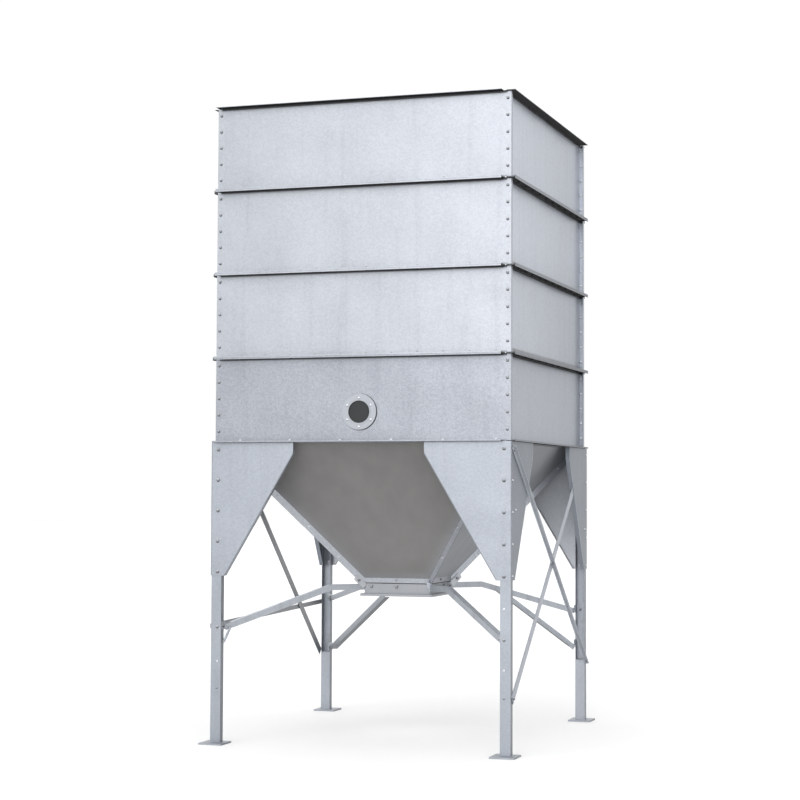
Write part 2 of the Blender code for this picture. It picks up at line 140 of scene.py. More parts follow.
def apply_modifier(obj: bpy.types.Object, kind: str, **settings: Any) -> None:
    """Adds a modifier and applies it at once.

    Args:
        obj: The mesh object.
        kind: The modifier's type.
        settings: The modifier's properties.
    """
    activate(obj)
    modifier = obj.modifiers.new(kind.lower(), kind)
    for name, value in settings.items():
        setattr(modifier, name, value)
    bpy.ops.object.modifier_apply(modifier=modifier.name)


def smooth(obj: bpy.types.Object, degrees: float = 40.0) -> None:
    """Shades a mesh smooth, with edges sharper than an angle kept sharp.

    Args:
        obj: The mesh object.
        degrees: The angle between faces past which an edge stays sharp.
    """
    activate(obj)
    bpy.ops.object.shade_smooth_by_angle(angle=math.radians(degrees))


def round_edges(obj: bpy.types.Object, width: float) -> None:
    """Rounds every sharp edge and keeps the flat faces flat in their shading.

    Args:
        obj: The mesh object.
        width: How much of each edge is rounded off.
    """
    apply_modifier(
        obj,
        "BEVEL",
        width=width,
        segments=2,
        limit_method="ANGLE",
        angle_limit=math.radians(35.0),
    )
    smooth(obj, 50.0)
    apply_modifier(obj, "WEIGHTED_NORMAL", keep_sharp=True, weight=100)


def add_drum(radius: float, depth: float, centre: Vector, sides: int) -> bpy.types.Object:
    """Adds an upright prism or cylinder.

    Args:
        radius: Distance from its axis to its corners.
        depth: Its height.
        centre: The middle of its height, on its axis.
        sides: The number of its sides.

    Returns:
        The new object, selected and active.
    """
    deselect()
    bpy.ops.mesh.primitive_cylinder_add(
        vertices=sides, radius=radius, depth=depth, location=centre
    )
    obj = bpy.context.object
    bpy.ops.object.transform_apply(location=True, rotation=True, scale=True)
    return obj


def add_strap(length: float, width: float, sheet: float, rounding: float) -> bpy.types.Object:
    """Adds a flat plate along X at the origin, with round corners and soft edges.

    Args:
        length: Its size along X.
        width: Its size along Y.
        sheet: Its thickness along Z, upward from the origin.
        rounding: The radius of its four corners.

    Returns:
        The new object.
    """
    deselect()
    bpy.ops.mesh.primitive_cube_add(size=1.0, location=(0.0, 0.0, sheet / 2))
    strap = bpy.context.object
    strap.scale = (length, width, sheet)
    bpy.ops.object.transform_apply(location=True, rotation=True, scale=True)
    pick_uprights(strap)
    with editing(strap, "EDGE"):
        bpy.ops.mesh.bevel(offset=rounding, segments=5, affect="EDGES")
    round_edges(strap, sheet * 0.25)
    return strap


def join(objects: Sequence[bpy.types.Object], name: str) -> bpy.types.Object:
    """Joins meshes into one object.

    Args:
        objects: The objects to join.
        name: The name of the joined object.

    Returns:
        The joined object.
    """
    activate(*objects)
    if len(objects) > 1:
        bpy.ops.object.join()
    joined = bpy.context.view_layer.objects.active
    joined.name = name
    joined.data.name = name
    return joined


def aim(place: Vector, outward: Vector, spin: float = 0.0) -> Matrix:
    """Gives the matrix that takes an upright shape at the origin to a surface.

    Args:
        place: Where the shape's origin goes.
        outward: The direction that its +Z turns to.
        spin: Turn about that direction, in radians.

    Returns:
        The 4 by 4 matrix.
    """
    turn = outward.to_track_quat("Z", "Y").to_matrix().to_4x4()
    return Matrix.Translation(place) @ turn @ Matrix.Rotation(spin, 4, "Z")


def framed(place: Vector, along: Vector, outward: Vector) -> Matrix:
    """Gives the matrix that lays an upright shape on a surface, with its X along it.

    Args:
        place: Where the shape's origin goes.
        along: The direction that its +X turns to.
        outward: The direction that its +Z turns to.

    Returns:
        The 4 by 4 matrix.
    """
    z = outward.normalized()
    x = (along - along.dot(z) * z).normalized()
    turn = Matrix((x, z.cross(x), z)).transposed().to_4x4()
    return Matrix.Translation(place) @ turn


def drill(obj: bpy.types.Object, holes: Iterable[Spot], radius: float, depth: float) -> None:
    """Makes round holes through a sheet.

    Args:
        obj: The mesh object.
        holes: The holes' places and axes.
        radius: Their radius.
        depth: How far each reaches to both sides of its place.
    """
    cutters = []
    for place, axis in holes:
        cutter = add_drum(radius, 2 * depth, Vector(), DRILL_SIDES)
        cutter.data.transform(aim(place, axis))
        cutters.append(cutter)
    cutter = join(cutters, "drill")
    apply_modifier(obj, "BOOLEAN", operation="DIFFERENCE", solver="EXACT", object=cutter)
    bpy.data.objects.remove(cutter, do_unlink=True)


# Shader maths and nodes


class Socket:
    """One output of a shader node, ready for arithmetic."""

    def __init__(self, graph: "Graph", link: bpy.types.NodeSocket) -> None:
        """Wraps a node's output socket."""
        self.graph = graph
        self.link = link

    def _math(self, operation: str, first: Any, second: Any) -> "Socket":
        """Adds a Math node on two values and gives its result."""
        return self.graph.node("ShaderNodeMath", {"operation": operation}, {0: first, 1: second})

    def __add__(self, other: Any) -> "Socket":
        """Adds a value."""
        return self._math("ADD", self, other)

    __radd__ = __add__

    def __sub__(self, other: Any) -> "Socket":
        """Takes a value away."""
        return self._math("SUBTRACT", self, other)

    def __rsub__(self, other: Any) -> "Socket":
        """Is taken away from a value."""
        return self._math("SUBTRACT", other, self)

    def __mul__(self, other: Any) -> "Socket":
        """Multiplies by a value."""
        return self._math("MULTIPLY", self, other)

    __rmul__ = __mul__

    def __truediv__(self, other: Any) -> "Socket":
        """Divides by a value."""
        return self._math("DIVIDE", self, other)

    def fraction(self) -> "Socket":
        """Gives the part after the decimal point."""
        return self._math("FRACT", self, 0.0)

    def size(self) -> "Socket":
        """Gives the value without its sign."""
        return self._math("ABSOLUTE", self, 0.0)

    def larger(self, other: Any) -> "Socket":
        """Gives the larger of this value and another."""
        return self._math("MAXIMUM", self, other)

    def clamp_step(self, low: float, high: float) -> "Socket":
        """Rises smoothly from 0 at low to 1 at high, or falls where high is lower.

        Args:
            low: The value that gives 0.
            high: The value that gives 1.

        Returns:
            The mask.
        """
        settings = {"interpolation_type": "SMOOTHSTEP", "clamp": True}
        stops = {"Value": self, "From Min": low, "From Max": high}
        return self.graph.node("ShaderNodeMapRange", settings, stops)


class Graph:
    """Adds nodes to one shader tree."""

    def __init__(self, tree: bpy.types.NodeTree) -> None:
        """Takes the tree to fill."""
        self.tree = tree

    def node(
        self,
        kind: str,
        settings: dict[str, Any] | None = None,
        inputs: dict[int | str, Any] | None = None,
        output: int | str = 0,
    ) -> Socket:
        """Adds a node of any type.

        Args:
            kind: The node's type.
            settings: Its properties, set before its sockets.
            inputs: Values or sockets for its inputs, by index or name.
            output: The output to give back.

        Returns:
            The chosen output.
        """
        made = self.tree.nodes.new(kind)
        for name, value in (settings or {}).items():
            setattr(made, name, value)
        for name, value in (inputs or {}).items():
            self.feed(made.inputs[name], value)
        return Socket(self, made.outputs[output])

    def feed(self, target: bpy.types.NodeSocket, value: Any) -> None:
        """Links or sets one input."""
        if isinstance(value, Socket):
            self.tree.links.new(value.link, target)
        else:
            target.default_value = value

    def part(self, vector: Socket, axis: str) -> Socket:
        """Gives one coordinate of a vector."""
        return self.node("ShaderNodeSeparateXYZ", None, {0: vector}, axis)


class Surface(Graph):
    """Builds one Principled material from nodes."""

    def __init__(self, name: str) -> None:
        """Starts the material of that name."""
        self.material = bpy.data.materials.new(name)
        self.material.use_nodes = True
        super().__init__(self.material.node_tree)
        self.shader = self.tree.nodes["Principled BSDF"]

    def shader_input(self, name: str, value: Any) -> None:
        """Feeds or sets one input of the Principled shader."""
        self.feed(self.shader.inputs[name], value)

    def place(self, scale: tuple[float, float, float] = (1.0, 1.0, 1.0)) -> Socket:
        """Gives object coordinates in metres, stretched by a scale."""
        where = self.node("ShaderNodeTexCoord", output="Object")
        return self.node("ShaderNodeMapping", None, {"Vector": where, "Scale": scale})

    def facing(self, axis: str) -> Socket:
        """Gives 1 on faces that look along an axis, and -1 on those that look back."""
        return self.part(self.node("ShaderNodeNewGeometry", output="Normal"), axis)

    def noise(self, where: Socket, scale: float, detail: float = 3.0) -> Socket:
        """Gives soft noise around 0.5 at a number of waves per metre."""
        return self.node(
            "ShaderNodeTexNoise", None, {"Vector": where, "Scale": scale, "Detail": detail}
        )

    def crystals(self, where: Socket, scale: float) -> Socket:
        """Gives flat cells of random value from 0 to 1."""
        cells = self.node(
            "ShaderNodeTexVoronoi", None, {"Vector": where, "Scale": scale}, "Color"
        )
        return self.node("ShaderNodeSeparateColor", None, {0: cells}, "Red")

    def mix(self, mask: Any, first: Any, second: Any) -> Socket:
        """Mixes two colours by a mask."""
        return self.node(
            "ShaderNodeMix", {"data_type": "RGBA"}, {0: mask, 6: first, 7: second}, 2
        )

    def tinted(self, colour: Any, tone: Socket) -> Socket:
        """Makes a colour lighter or darker by a tone around 1."""
        return self.node(
            "ShaderNodeVectorMath", {"operation": "SCALE"}, {0: colour, "Scale": tone}
        )

    def bump(self, height: Socket, distance: float, under: Socket | None = None) -> Socket:
        """Gives a normal that follows a height, over an earlier bump where one is given."""
        inputs: dict[int | str, Any] = {"Height": height, "Strength": 1.0, "Distance": distance}
        if under is not None:
            inputs["Normal"] = under
        return self.node("ShaderNodeBump", None, inputs)


# Finishes


def grey(level: float) -> Size:
    """Gives an opaque grey."""
    return level, level, level, 1.0


@dataclass(frozen=True)
class GalvanizedSteel:
    """Zinc coated sheet with spangle, soft mottling and rain streaks."""

    name: str
    colour: Colour
    metallic: float = 0.7
    roughness: float = 0.40
    spangle: float = 0.10
    spangle_scale: float = 150.0
    mottle: float = 0.10
    streaks: float = 0.05
    waves: float = 0.008
    wave_scale: float = 2.3
    ripple: float = 0.0001
    ripple_scale: float = 60.0
    cloud_scale: float = 5.0
    grain_scale: float = 420.0
    gloss: float = 0.5

    def _tone(self, surface: Surface, crystals: Socket, cloud: Socket, grain: Socket) -> Socket:
        """Gives the lighter and darker places of the zinc around 1."""
        runs = surface.noise(surface.place((26.0, 26.0, 1.4)), 1.0, 3.0)
        tone = 1.0 + self.spangle * (crystals - 0.5) + self.mottle * (cloud - 0.5)
        tone = tone + self.spangle * (grain - 0.5)
        return tone - self.streaks * runs.clamp_step(0.5, 0.72)

    def _dress(self, surface: Surface, colour: Any, dull: Any) -> tuple[Any, Any]:
        """Lets a kind of sheet change its colour and gloss from place to place.

        Args:
            surface: The material being built.
            colour: The zinc's colour.
            dull: Where the sheet has no gloss, from 0 to 1.

        Returns:
            The changed colour and dullness.
        """
        return colour, dull

    def material(self) -> bpy.types.Material:
        """Builds the material."""
        surface = Surface(self.name)
        where = surface.place()
        crystals = surface.crystals(where, self.spangle_scale)
        cloud = surface.noise(where, self.cloud_scale, 4.0)
        grain = surface.noise(where, self.grain_scale, 2.0)
        tone = self._tone(surface, crystals, cloud, grain)
        colour, dull = self._dress(surface, surface.tinted(self.colour, tone), None)
        rough = self.roughness + 0.10 * (cloud - 0.5)
        metal: Any = self.metallic
        if dull is not None:
            rough = rough + 0.4 * dull
            metal = self.metallic * (1.0 - dull)
        swell = surface.noise(surface.place((1.0, 1.0, 1.6)), self.wave_scale, 1.0)
        ripples = surface.noise(where, self.ripple_scale, 1.0)
        normal = surface.bump(ripples, self.ripple, surface.bump(swell, self.waves))
        surface.shader_input("Base Color", colour)
        surface.shader_input("Roughness", rough)
        surface.shader_input("Metallic", metal)
        surface.shader_input("Specular IOR Level", self.gloss)
        surface.shader_input("Normal", normal)
        return surface.material


@dataclass(frozen=True)
class WallSheet(GalvanizedSteel):
    """Wall panel zinc, dull on its flanges, with painted shade under them, on their ends and
    towards the back and bottom, and an uneven darker band above them.
    """

    flange_axis: str = "Y"
    gloss: float = 0.0
    spangle: float = 0.13
    roughness: float = 0.34
    tier_base: float = 1.51
    tier_pitch: float = 0.427
    sheet_plane: float = 0.757
    hem_plane: float = 0.797
    hem_tone: float = 1.0
    ledge: float = 0.03
    shade: float = 0.02
    # Strengths of the painted shade towards the back and towards the bottom.
    back_shade: float = 0.0
    sink: float = 0.0

    def _dress(self, surface: Surface, colour: Any, dull: Any) -> tuple[Any, Any]:
        """Dulls the hems, paints shade on the undersides, under and at the ends of the flanges
        and towards the back and bottom, and darkens a band above each hem.
        """
        where = surface.place()
        depth = surface.part(where, "Y")
        height = surface.part(where, "Z")
        # Painted shade: the sheet darkens towards the back by back_shade and towards the bottom
        # by sink.
        painted_light = 1.0 - self.back_shade * depth.clamp_step(-0.75, 0.75)
        painted_light = painted_light - self.sink * height.clamp_step(2.6, 2.15)
        reach = surface.part(where, "X").size().larger(depth.size())
        sheet = reach.clamp_step(self.sheet_plane + 0.002, self.sheet_plane)
        hem = reach.clamp_step(self.hem_plane, self.hem_plane + 0.004)
        colour = surface.tinted(colour, painted_light * (1.0 - (1.0 - self.hem_tone) * hem))
        level = ((height - self.tier_base) / self.tier_pitch).fraction()
        # An uneven darker band on the sheet just above each lower flange's hem.
        uneven = surface.noise(surface.place((9.0, 9.0, 3.0)), 1.0, 4.0)
        ledge_band = level.clamp_step(self.ledge, self.ledge * 0.7) * (0.35 + 0.6 * uneven)
        # Painted shade in a band on the sheet just under each upper flange.
        crease_shade = level.clamp_step(0.962, 0.980) * 0.9
        colour = surface.mix(ledge_band * sheet, colour, grey(0.13))
        colour = surface.mix(crease_shade * sheet, colour, grey(0.05))
        # Painted shade, near black, on the flanges' end faces at the joints.
        joint = level.clamp_step(0.04, 0.03).larger(level.clamp_step(0.955, 0.965))
        beyond = surface.part(where, self.flange_axis).size() - self.sheet_plane
        lengthwise = surface.facing("X" if self.flange_axis == "Y" else "Y").size()
        end = joint * beyond.clamp_step(0.0008, 0.0016) * lengthwise.clamp_step(0.80, 0.95)
        colour = surface.mix(end * 0.93, colour, grey(0.03))
        # Painted shade, of the shade grey, on every face that looks down.
        under = surface.facing("Z").clamp_step(-0.80, -0.97)
        return surface.mix(under, colour, grey(self.shade)), under


@dataclass(frozen=True)
class SectionSteel(GalvanizedSteel):
    """Zinc of folded sections, with painted shade on faces that look sideways and down and
    painted light on faces that look up.
    """

    # Factors of painted light and shade on faces that look sideways, up and down.
    flank: float = 1.0
    top: float = 1.0
    under: float = 0.35

    def _dress(self, surface: Surface, colour: Any, dull: Any) -> tuple[Any, Any]:
        """Paints light and shade by the way faces look: sideways, up and down."""
        up = surface.facing("Z")
        side = surface.facing("X").size().clamp_step(0.75, 0.97)
        tone = 1.0 + (self.flank - 1.0) * side + (self.top - 1.0) * up.clamp_step(0.3, 0.9)
        tone = tone + (self.under - 1.0) * up.clamp_step(-0.3, -0.8)
        return surface.tinted(colour, tone), dull


@dataclass(frozen=True)
class GussetSheet(GalvanizedSteel):
    """Gusset zinc with a line along the slanted fold, a painted highlight where line_tone is
    above 1, and painted light and shade on its lip and inner side.
    """

    across: str = "X"
    knee: tuple[float, float] = (0.344, 1.45)
    foot: tuple[float, float] = (0.71, 0.84)
    # line_tone above 1 paints a highlight along the fold; lip_tone and inner_tone paint shade
    # below 1 and light above 1.
    line_tone: float = 0.55
    line_width: float = 0.006
    lip_tone: float = 0.8
    inner_tone: float = 1.0

    def _dress(self, surface: Surface, colour: Any, dull: Any) -> tuple[Any, Any]:
        """Changes the tone in a thin line along the fold and paints light and shade on the lip
        and the inner side.
        """
        where = surface.place()
        through = "Y" if self.across == "X" else "X"
        look = surface.facing(through)
        plate = look.size().clamp_step(0.75, 0.92)
        inner = (look * surface.part(where, through)).clamp_step(0.0, -0.5) * plate
        run = self.foot[0] - self.knee[0]
        fall = self.knee[1] - self.foot[1]
        length = math.hypot(run, fall)
        outward = surface.part(where, self.across).size() - self.knee[0]
        upward = surface.part(where, "Z") - self.knee[1]
        distance = (outward * (fall / length) + upward * (run / length)).size()
        line = distance.clamp_step(self.line_width, self.line_width * 0.5) * plate
        soft = surface.noise(surface.place((5.0, 5.0, 2.0)), 1.0, 2.0)
        tone = 1.0 + (self.line_tone - 1.0) * line + 0.16 * (soft - 0.5)
        tone = tone * (self.lip_tone + (1.0 - self.lip_tone) * plate)
        tone = tone * (1.0 + (self.inner_tone - 1.0) * inner)
        return surface.tinted(colour, tone), dull


@dataclass(frozen=True)
class HopperSheet(GalvanizedSteel):
    """Hopper zinc with painted light on its upright fins, painted shade on its collars and
    undersides, and dust and painted shade on its slanted faces.
    """

    # Colour of the dust and painted shade on faces that slant down.
    dust_and_shade: Colour = (0.14, 0.137, 0.132)

    def _dress(self, surface: Surface, colour: Any, dull: Any) -> tuple[Any, Any]:
        """Puts dust and painted shade on faces that slant down, less near the fins and the
        outlet, paints the fins lighter and the collars darker, and paints near black shade on
        faces that look straight down.
        """
        where = surface.place()
        cloud = surface.noise(where, 3.4, 5.0)
        runs = surface.noise(surface.place((14.0, 14.0, 1.1)), 1.0, 4.0)
        tone = 0.86 + 0.20 * (cloud - 0.5) + 0.22 * (runs - 0.5)
        height = surface.part(where, "Z")
        dust_and_shade = surface.tinted(self.dust_and_shade, tone + 0.12 * height.clamp_step(1.5, 0.9))
        # Lighter near the corner fins and just above the outlet.
        edge = (surface.part(where, "X").size() - surface.part(where, "Y").size()).size()
        lighter_rims = edge.clamp_step(0.075, 0.0) * 0.45
        lighter_rims = lighter_rims.larger(height.clamp_step(0.865, 0.815) * 0.5)
        dust_and_shade = surface.mix(lighter_rims, dust_and_shade, surface.tinted(colour, 0.62 + 0.3 * (cloud - 0.5)))
        # Dust and painted shade on the faces that slant down.
        slant = surface.facing("Z").clamp_step(-0.20, -0.50)
        # Painted light on the upright fins and painted shade on the collars and the plates, by
        # the way they face.
        across = surface.facing("X").size() - surface.facing("Y").size()
        colour = surface.tinted(colour, 0.80 + 0.45 * across.size().clamp_step(0.4, 0.1))
        colour = surface.mix(slant, colour, dust_and_shade)
        # Painted shade, near black, on faces that look straight down.
        down = surface.facing("Z").clamp_step(-0.85, -0.97)
        return surface.mix(down, colour, grey(0.03)), slant * 0.75


@dataclass(frozen=True)
class PlainFinish:
    """Worn plain finish of glass, of the near black strips that paint shadows, or of the floor.
    """

    name: str
    colour: Colour
    roughness: float
    variation: float = 0.2
    scale: float = 60.0
    gloss: float = 0.5

    def material(self) -> bpy.types.Material:
        """Builds the material."""
        surface = Surface(self.name)
        where = surface.place()
        cloud = surface.noise(where, self.scale, 3.0)
        colour = surface.tinted(self.colour, 1.0 + self.variation * (cloud - 0.5))
        surface.shader_input("Base Color", colour)
        surface.shader_input("Roughness", self.roughness + 0.1 * (cloud - 0.5))
        surface.shader_input("Specular IOR Level", self.gloss)
        return surface.material


@dataclass(frozen=True)
class FastenerZinc:
    """Zinc plated bolts with a painted highlight above and painted shade below."""

    name: str
    # top and bottom are the colours of the painted highlight on faces that look up and of the
    # painted shade on faces that look down.
    top: Colour
    middle: Colour
    bottom: Colour
    metallic: float = 0.6
    roughness: float = 0.42
    gloss: float = 0.5

    def material(self) -> bpy.types.Material:
        """Builds the material."""
        surface = Surface(self.name)
        cloud = surface.noise(surface.place(), 90.0, 2.0)
        up = surface.facing("Z")
        # Painted light: faces that look up take the top colour, faces that look down the bottom
        # colour.
        colour = surface.mix(up.clamp_step(0.15, 0.75), (*self.middle, 1.0), (*self.top, 1.0))
        colour = surface.mix(up.clamp_step(-0.15, -0.7), colour, (*self.bottom, 1.0))
        surface.shader_input("Base Color", surface.tinted(colour, 0.85 + 0.3 * cloud))
        surface.shader_input("Roughness", self.roughness + 0.12 * (cloud - 0.5))
        surface.shader_input("Metallic", self.metallic)
        surface.shader_input("Specular IOR Level", self.gloss)
        return surface.material


class Finish(Enum):
    """Every finish of the silo."""

    WALL = WallSheet("wall_sheet", (0.355, 0.371, 0.405))
    LOW_WALL = WallSheet("low_wall_sheet", (0.288, 0.303, 0.335), spangle=0.2, ledge=0.018)
    # The side walls take painted shade towards the back, and the upper ones also towards the
    # bottom.
    SIDE_WALL = WallSheet(
        "side_wall_sheet", (0.49, 0.518, 0.572), flange_axis="X", hem_tone=0.5, ledge=0.085,
        shade=0.042, back_shade=0.20, sink=0.11,
    )
    LOW_SIDE_WALL = WallSheet(
        "low_side_wall_sheet", (0.355, 0.375, 0.416), flange_axis="X", hem_tone=0.5,
        shade=0.042, back_shade=0.10,
    )
    # The sections' flank, top and under factors paint shade on faces that look sideways and down
    # and light on faces that look up.
    LEG = SectionSteel("leg_section", (0.29, 0.31, 0.344), flank=0.62, under=0.3)
    GUSSET = GussetSheet("gusset_sheet", (0.30, 0.32, 0.356), spangle=0.12)
    # inner_tone paints light on the back gussets' inner faces.
    BACK_GUSSET = GussetSheet("back_gusset_sheet", (0.315, 0.328, 0.352), inner_tone=1.36)
    # line_tone paints a highlight along the side gussets' fold and lip_tone light on their lips.
    SIDE_GUSSET = GussetSheet(
        "side_gusset_sheet", (0.172, 0.188, 0.214), across="Y", line_tone=1.9,
        knee=(0.376, 1.445), spangle=0.14, lip_tone=1.2,
    )
    CLIP = GalvanizedSteel("clip_sheet", (0.46, 0.475, 0.50))
    STRUT = SectionSteel(
        "strut_section", (0.36, 0.38, 0.415), top=1.6, under=0.45, mottle=0.3, streaks=0.15
    )
    BRACE = SectionSteel(
        "brace_bar", (0.33, 0.352, 0.39), top=1.5, under=0.6, mottle=0.25, streaks=0.12
    )
    # A lighter copy of the brace zinc, painted light, with no painted shade on its undersides.
    ANGLE_BRACE = SectionSteel(
        "angle_brace_bar", (0.40, 0.42, 0.455), top=1.2, under=1.0, mottle=0.3
    )
    # A darker copy of the brace zinc, painted shade on the left side's bars.
    DARK_BRACE = SectionSteel(
        "shaded_brace_bar", (0.21, 0.216, 0.228), top=1.6, under=0.7, mottle=0.4
    )
    # dust_and_shade is the colour of the dust and painted shade on the slanted plates.
    HOPPER = HopperSheet(
        "hopper_sheet", (0.36, 0.377, 0.41), mottle=0.12, spangle=0.16, dust_and_shade=(0.171, 0.168, 0.165)
    )
    # The side plates take lighter dust and painted shade: painted light from the right.
    SIDE_HOPPER = HopperSheet(
        "side_hopper_sheet", (0.36, 0.377, 0.41), mottle=0.12, spangle=0.16,
        dust_and_shade=(0.232, 0.239, 0.253),
    )
    OUTLET = SectionSteel(
        "outlet_sheet", (0.26, 0.27, 0.288), spangle=0.06, mottle=0.2, under=0.15
    )
    RING = GalvanizedSteel("ring_plate", (0.30, 0.313, 0.34), roughness=0.4, spangle=0.05)
    GLASS = PlainFinish("dark_pane", (0.022, 0.0233, 0.0247), 0.2, 0.3, 18.0, gloss=0.25)
    # Near black strips and rings that paint shadows.
    RUBBER = PlainFinish("painted_shadow_strip", (0.02, 0.02, 0.021), 0.7)
    BOLT = FastenerZinc(
        "zinc_fastener", (0.56, 0.58, 0.61), (0.21, 0.217, 0.23), (0.025, 0.025, 0.027)
    )
    WASHER = FastenerZinc(
        "zinc_washer", (0.40, 0.41, 0.43), (0.16, 0.165, 0.175), (0.025, 0.025, 0.027)
    )
    # A lit copy of the fastener zinc, for painted highlights.
    BRIGHT_BOLT = FastenerZinc(
        "painted_lit_fastener", (0.80, 0.82, 0.85), (0.60, 0.615, 0.64), (0.07, 0.07, 0.075)
    )
    SHADED_BOLT = FastenerZinc(
        "shaded_fastener", (0.04, 0.04, 0.04), (0.025, 0.025, 0.026), (0.015, 0.015, 0.016),
        metallic=0.0, roughness=0.8, gloss=0.1,
    )

    @functools.cached_property
    def material(self) -> bpy.types.Material:
        """The finish's material, built when it is first asked for."""
        return self.value.material()


# Fasteners


class Head(Enum):
    """What shows on one side of a bolted joint."""

    HEX = "hex"
    ROUND = "round"
    NUT = "nut"


class PaintedLight(Enum):
    """Which painted light a fastener takes: a lit copy of its zinc, the plain zinc or a shaded
    copy.
    """

    BRIGHT = "bright"
    PLAIN = "plain"
    SHADED = "shaded"


@dataclass(frozen=True)
class Thread:
    """Sizes of one bolt and nut, in metres."""

    name: str
    shank: float
    flats: float
    head: float
    washer: float
    washer_sheet: float
    stub: float


M6 = Thread("m6", 0.006, 0.010, 0.0042, 0.0118, 0.0012, 0.003)
M8 = Thread("m8", 0.008, 0.013, 0.0060, 0.0156, 0.0015, 0.004)
M10 = Thread("m10", 0.010, 0.0155, 0.0070, 0.0185, 0.0018, 0.005)


@dataclass
class FastenerShop:
    """Models each fastener once, upright at the origin, to be copied from there."""

    round_sides: int = 14
    shank_sides: int = 10
    stock: dict[tuple[Thread, Head, PaintedLight], bpy.types.Object] = field(default_factory=dict)

    def _hex(self, size: Thread) -> bpy.types.Object:
        """Models a hexagon with its upper corners turned off."""
        middle = size.washer_sheet + size.head / 2
        body = add_drum(size.flats / math.sqrt(3), size.head, Vector((0, 0, middle)), 6)
        pick_top(body)
        with editing(body):
            bpy.ops.mesh.inset(thickness=size.flats * 0.09, depth=size.head * 0.12)
        return body

    def _dome(self, size: Thread) -> bpy.types.Object:
        """Models a low round head."""
        middle = size.washer_sheet / 2 + size.head / 4
        centre = Vector((0, 0, middle))
        body = add_drum(size.washer * 0.44, size.head / 2, centre, self.round_sides)
        pick_top(body)
        with editing(body):
            bpy.ops.mesh.inset(thickness=size.washer * 0.07, depth=size.head * 0.26)
            bpy.ops.mesh.inset(thickness=size.washer * 0.11, depth=size.head * 0.18)
            bpy.ops.mesh.inset(thickness=size.washer * 0.12, depth=size.head * 0.07)
        return body

    def _washer(self, size: Thread) -> bpy.types.Object:
        """Models a flat washer with a broken upper edge."""
        middle = Vector((0, 0, size.washer_sheet / 2))
        ring = add_drum(size.washer / 2, size.washer_sheet, middle, self.round_sides)
        pick_top(ring)
        with editing(ring):
            bpy.ops.mesh.bevel(offset=size.washer_sheet * 0.35, segments=1, affect="EDGES")
        return ring

    def _stub(self, size: Thread) -> bpy.types.Object:
        """Models the end of the thread past the nut."""
        low = size.washer_sheet + size.head * 0.9
        middle = Vector((0, 0, low + size.stub / 2))
        end = add_drum(size.shank / 2, size.stub, middle, self.shank_sides)
        pick_top(end)
        with editing(end):
            bpy.ops.mesh.inset(thickness=size.shank * 0.12, depth=size.shank * 0.10)
        return end

    def _zinc(self, painted_light: PaintedLight) -> tuple[Finish, Finish]:
        """Gives the finishes of a head and of its washer."""
        return {
            PaintedLight.BRIGHT: (Finish.BRIGHT_BOLT, Finish.BRIGHT_BOLT),
            PaintedLight.PLAIN: (Finish.BOLT, Finish.WASHER),
            PaintedLight.SHADED: (Finish.SHADED_BOLT, Finish.SHADED_BOLT),
        }[painted_light]

    def model(self, size: Thread, head: Head, painted_light: PaintedLight) -> bpy.types.Object:
        """Gives the stock piece of one size, head and wear.

        Args:
            size: The thread.
            head: What shows.
            painted_light: Which painted light its zinc takes.

        Returns:
            The stock piece, which isn't part of the silo.
        """
        key = (size, head, painted_light)
        if key not in self.stock:
            washer = self._washer(size)
            parts = [self._dome(size) if head is Head.ROUND else self._hex(size)]
            if head is Head.NUT:
                parts.append(self._stub(size))
            head_zinc, washer_zinc = self._zinc(painted_light)
            washer.data.materials.append(washer_zinc.material)
            for part in parts:
                part.data.materials.append(head_zinc.material)
            piece = join([*parts, washer], f"stock_{size.name}_{head.value}")
            smooth(piece, 30.0)
            self.stock[key] = piece
        return self.stock[key]

    def clear(self) -> None:
        """Removes the stock pieces."""
        for piece in self.stock.values():
            bpy.data.objects.remove(piece, do_unlink=True)
        self.stock.clear()


# Sub-assemblies


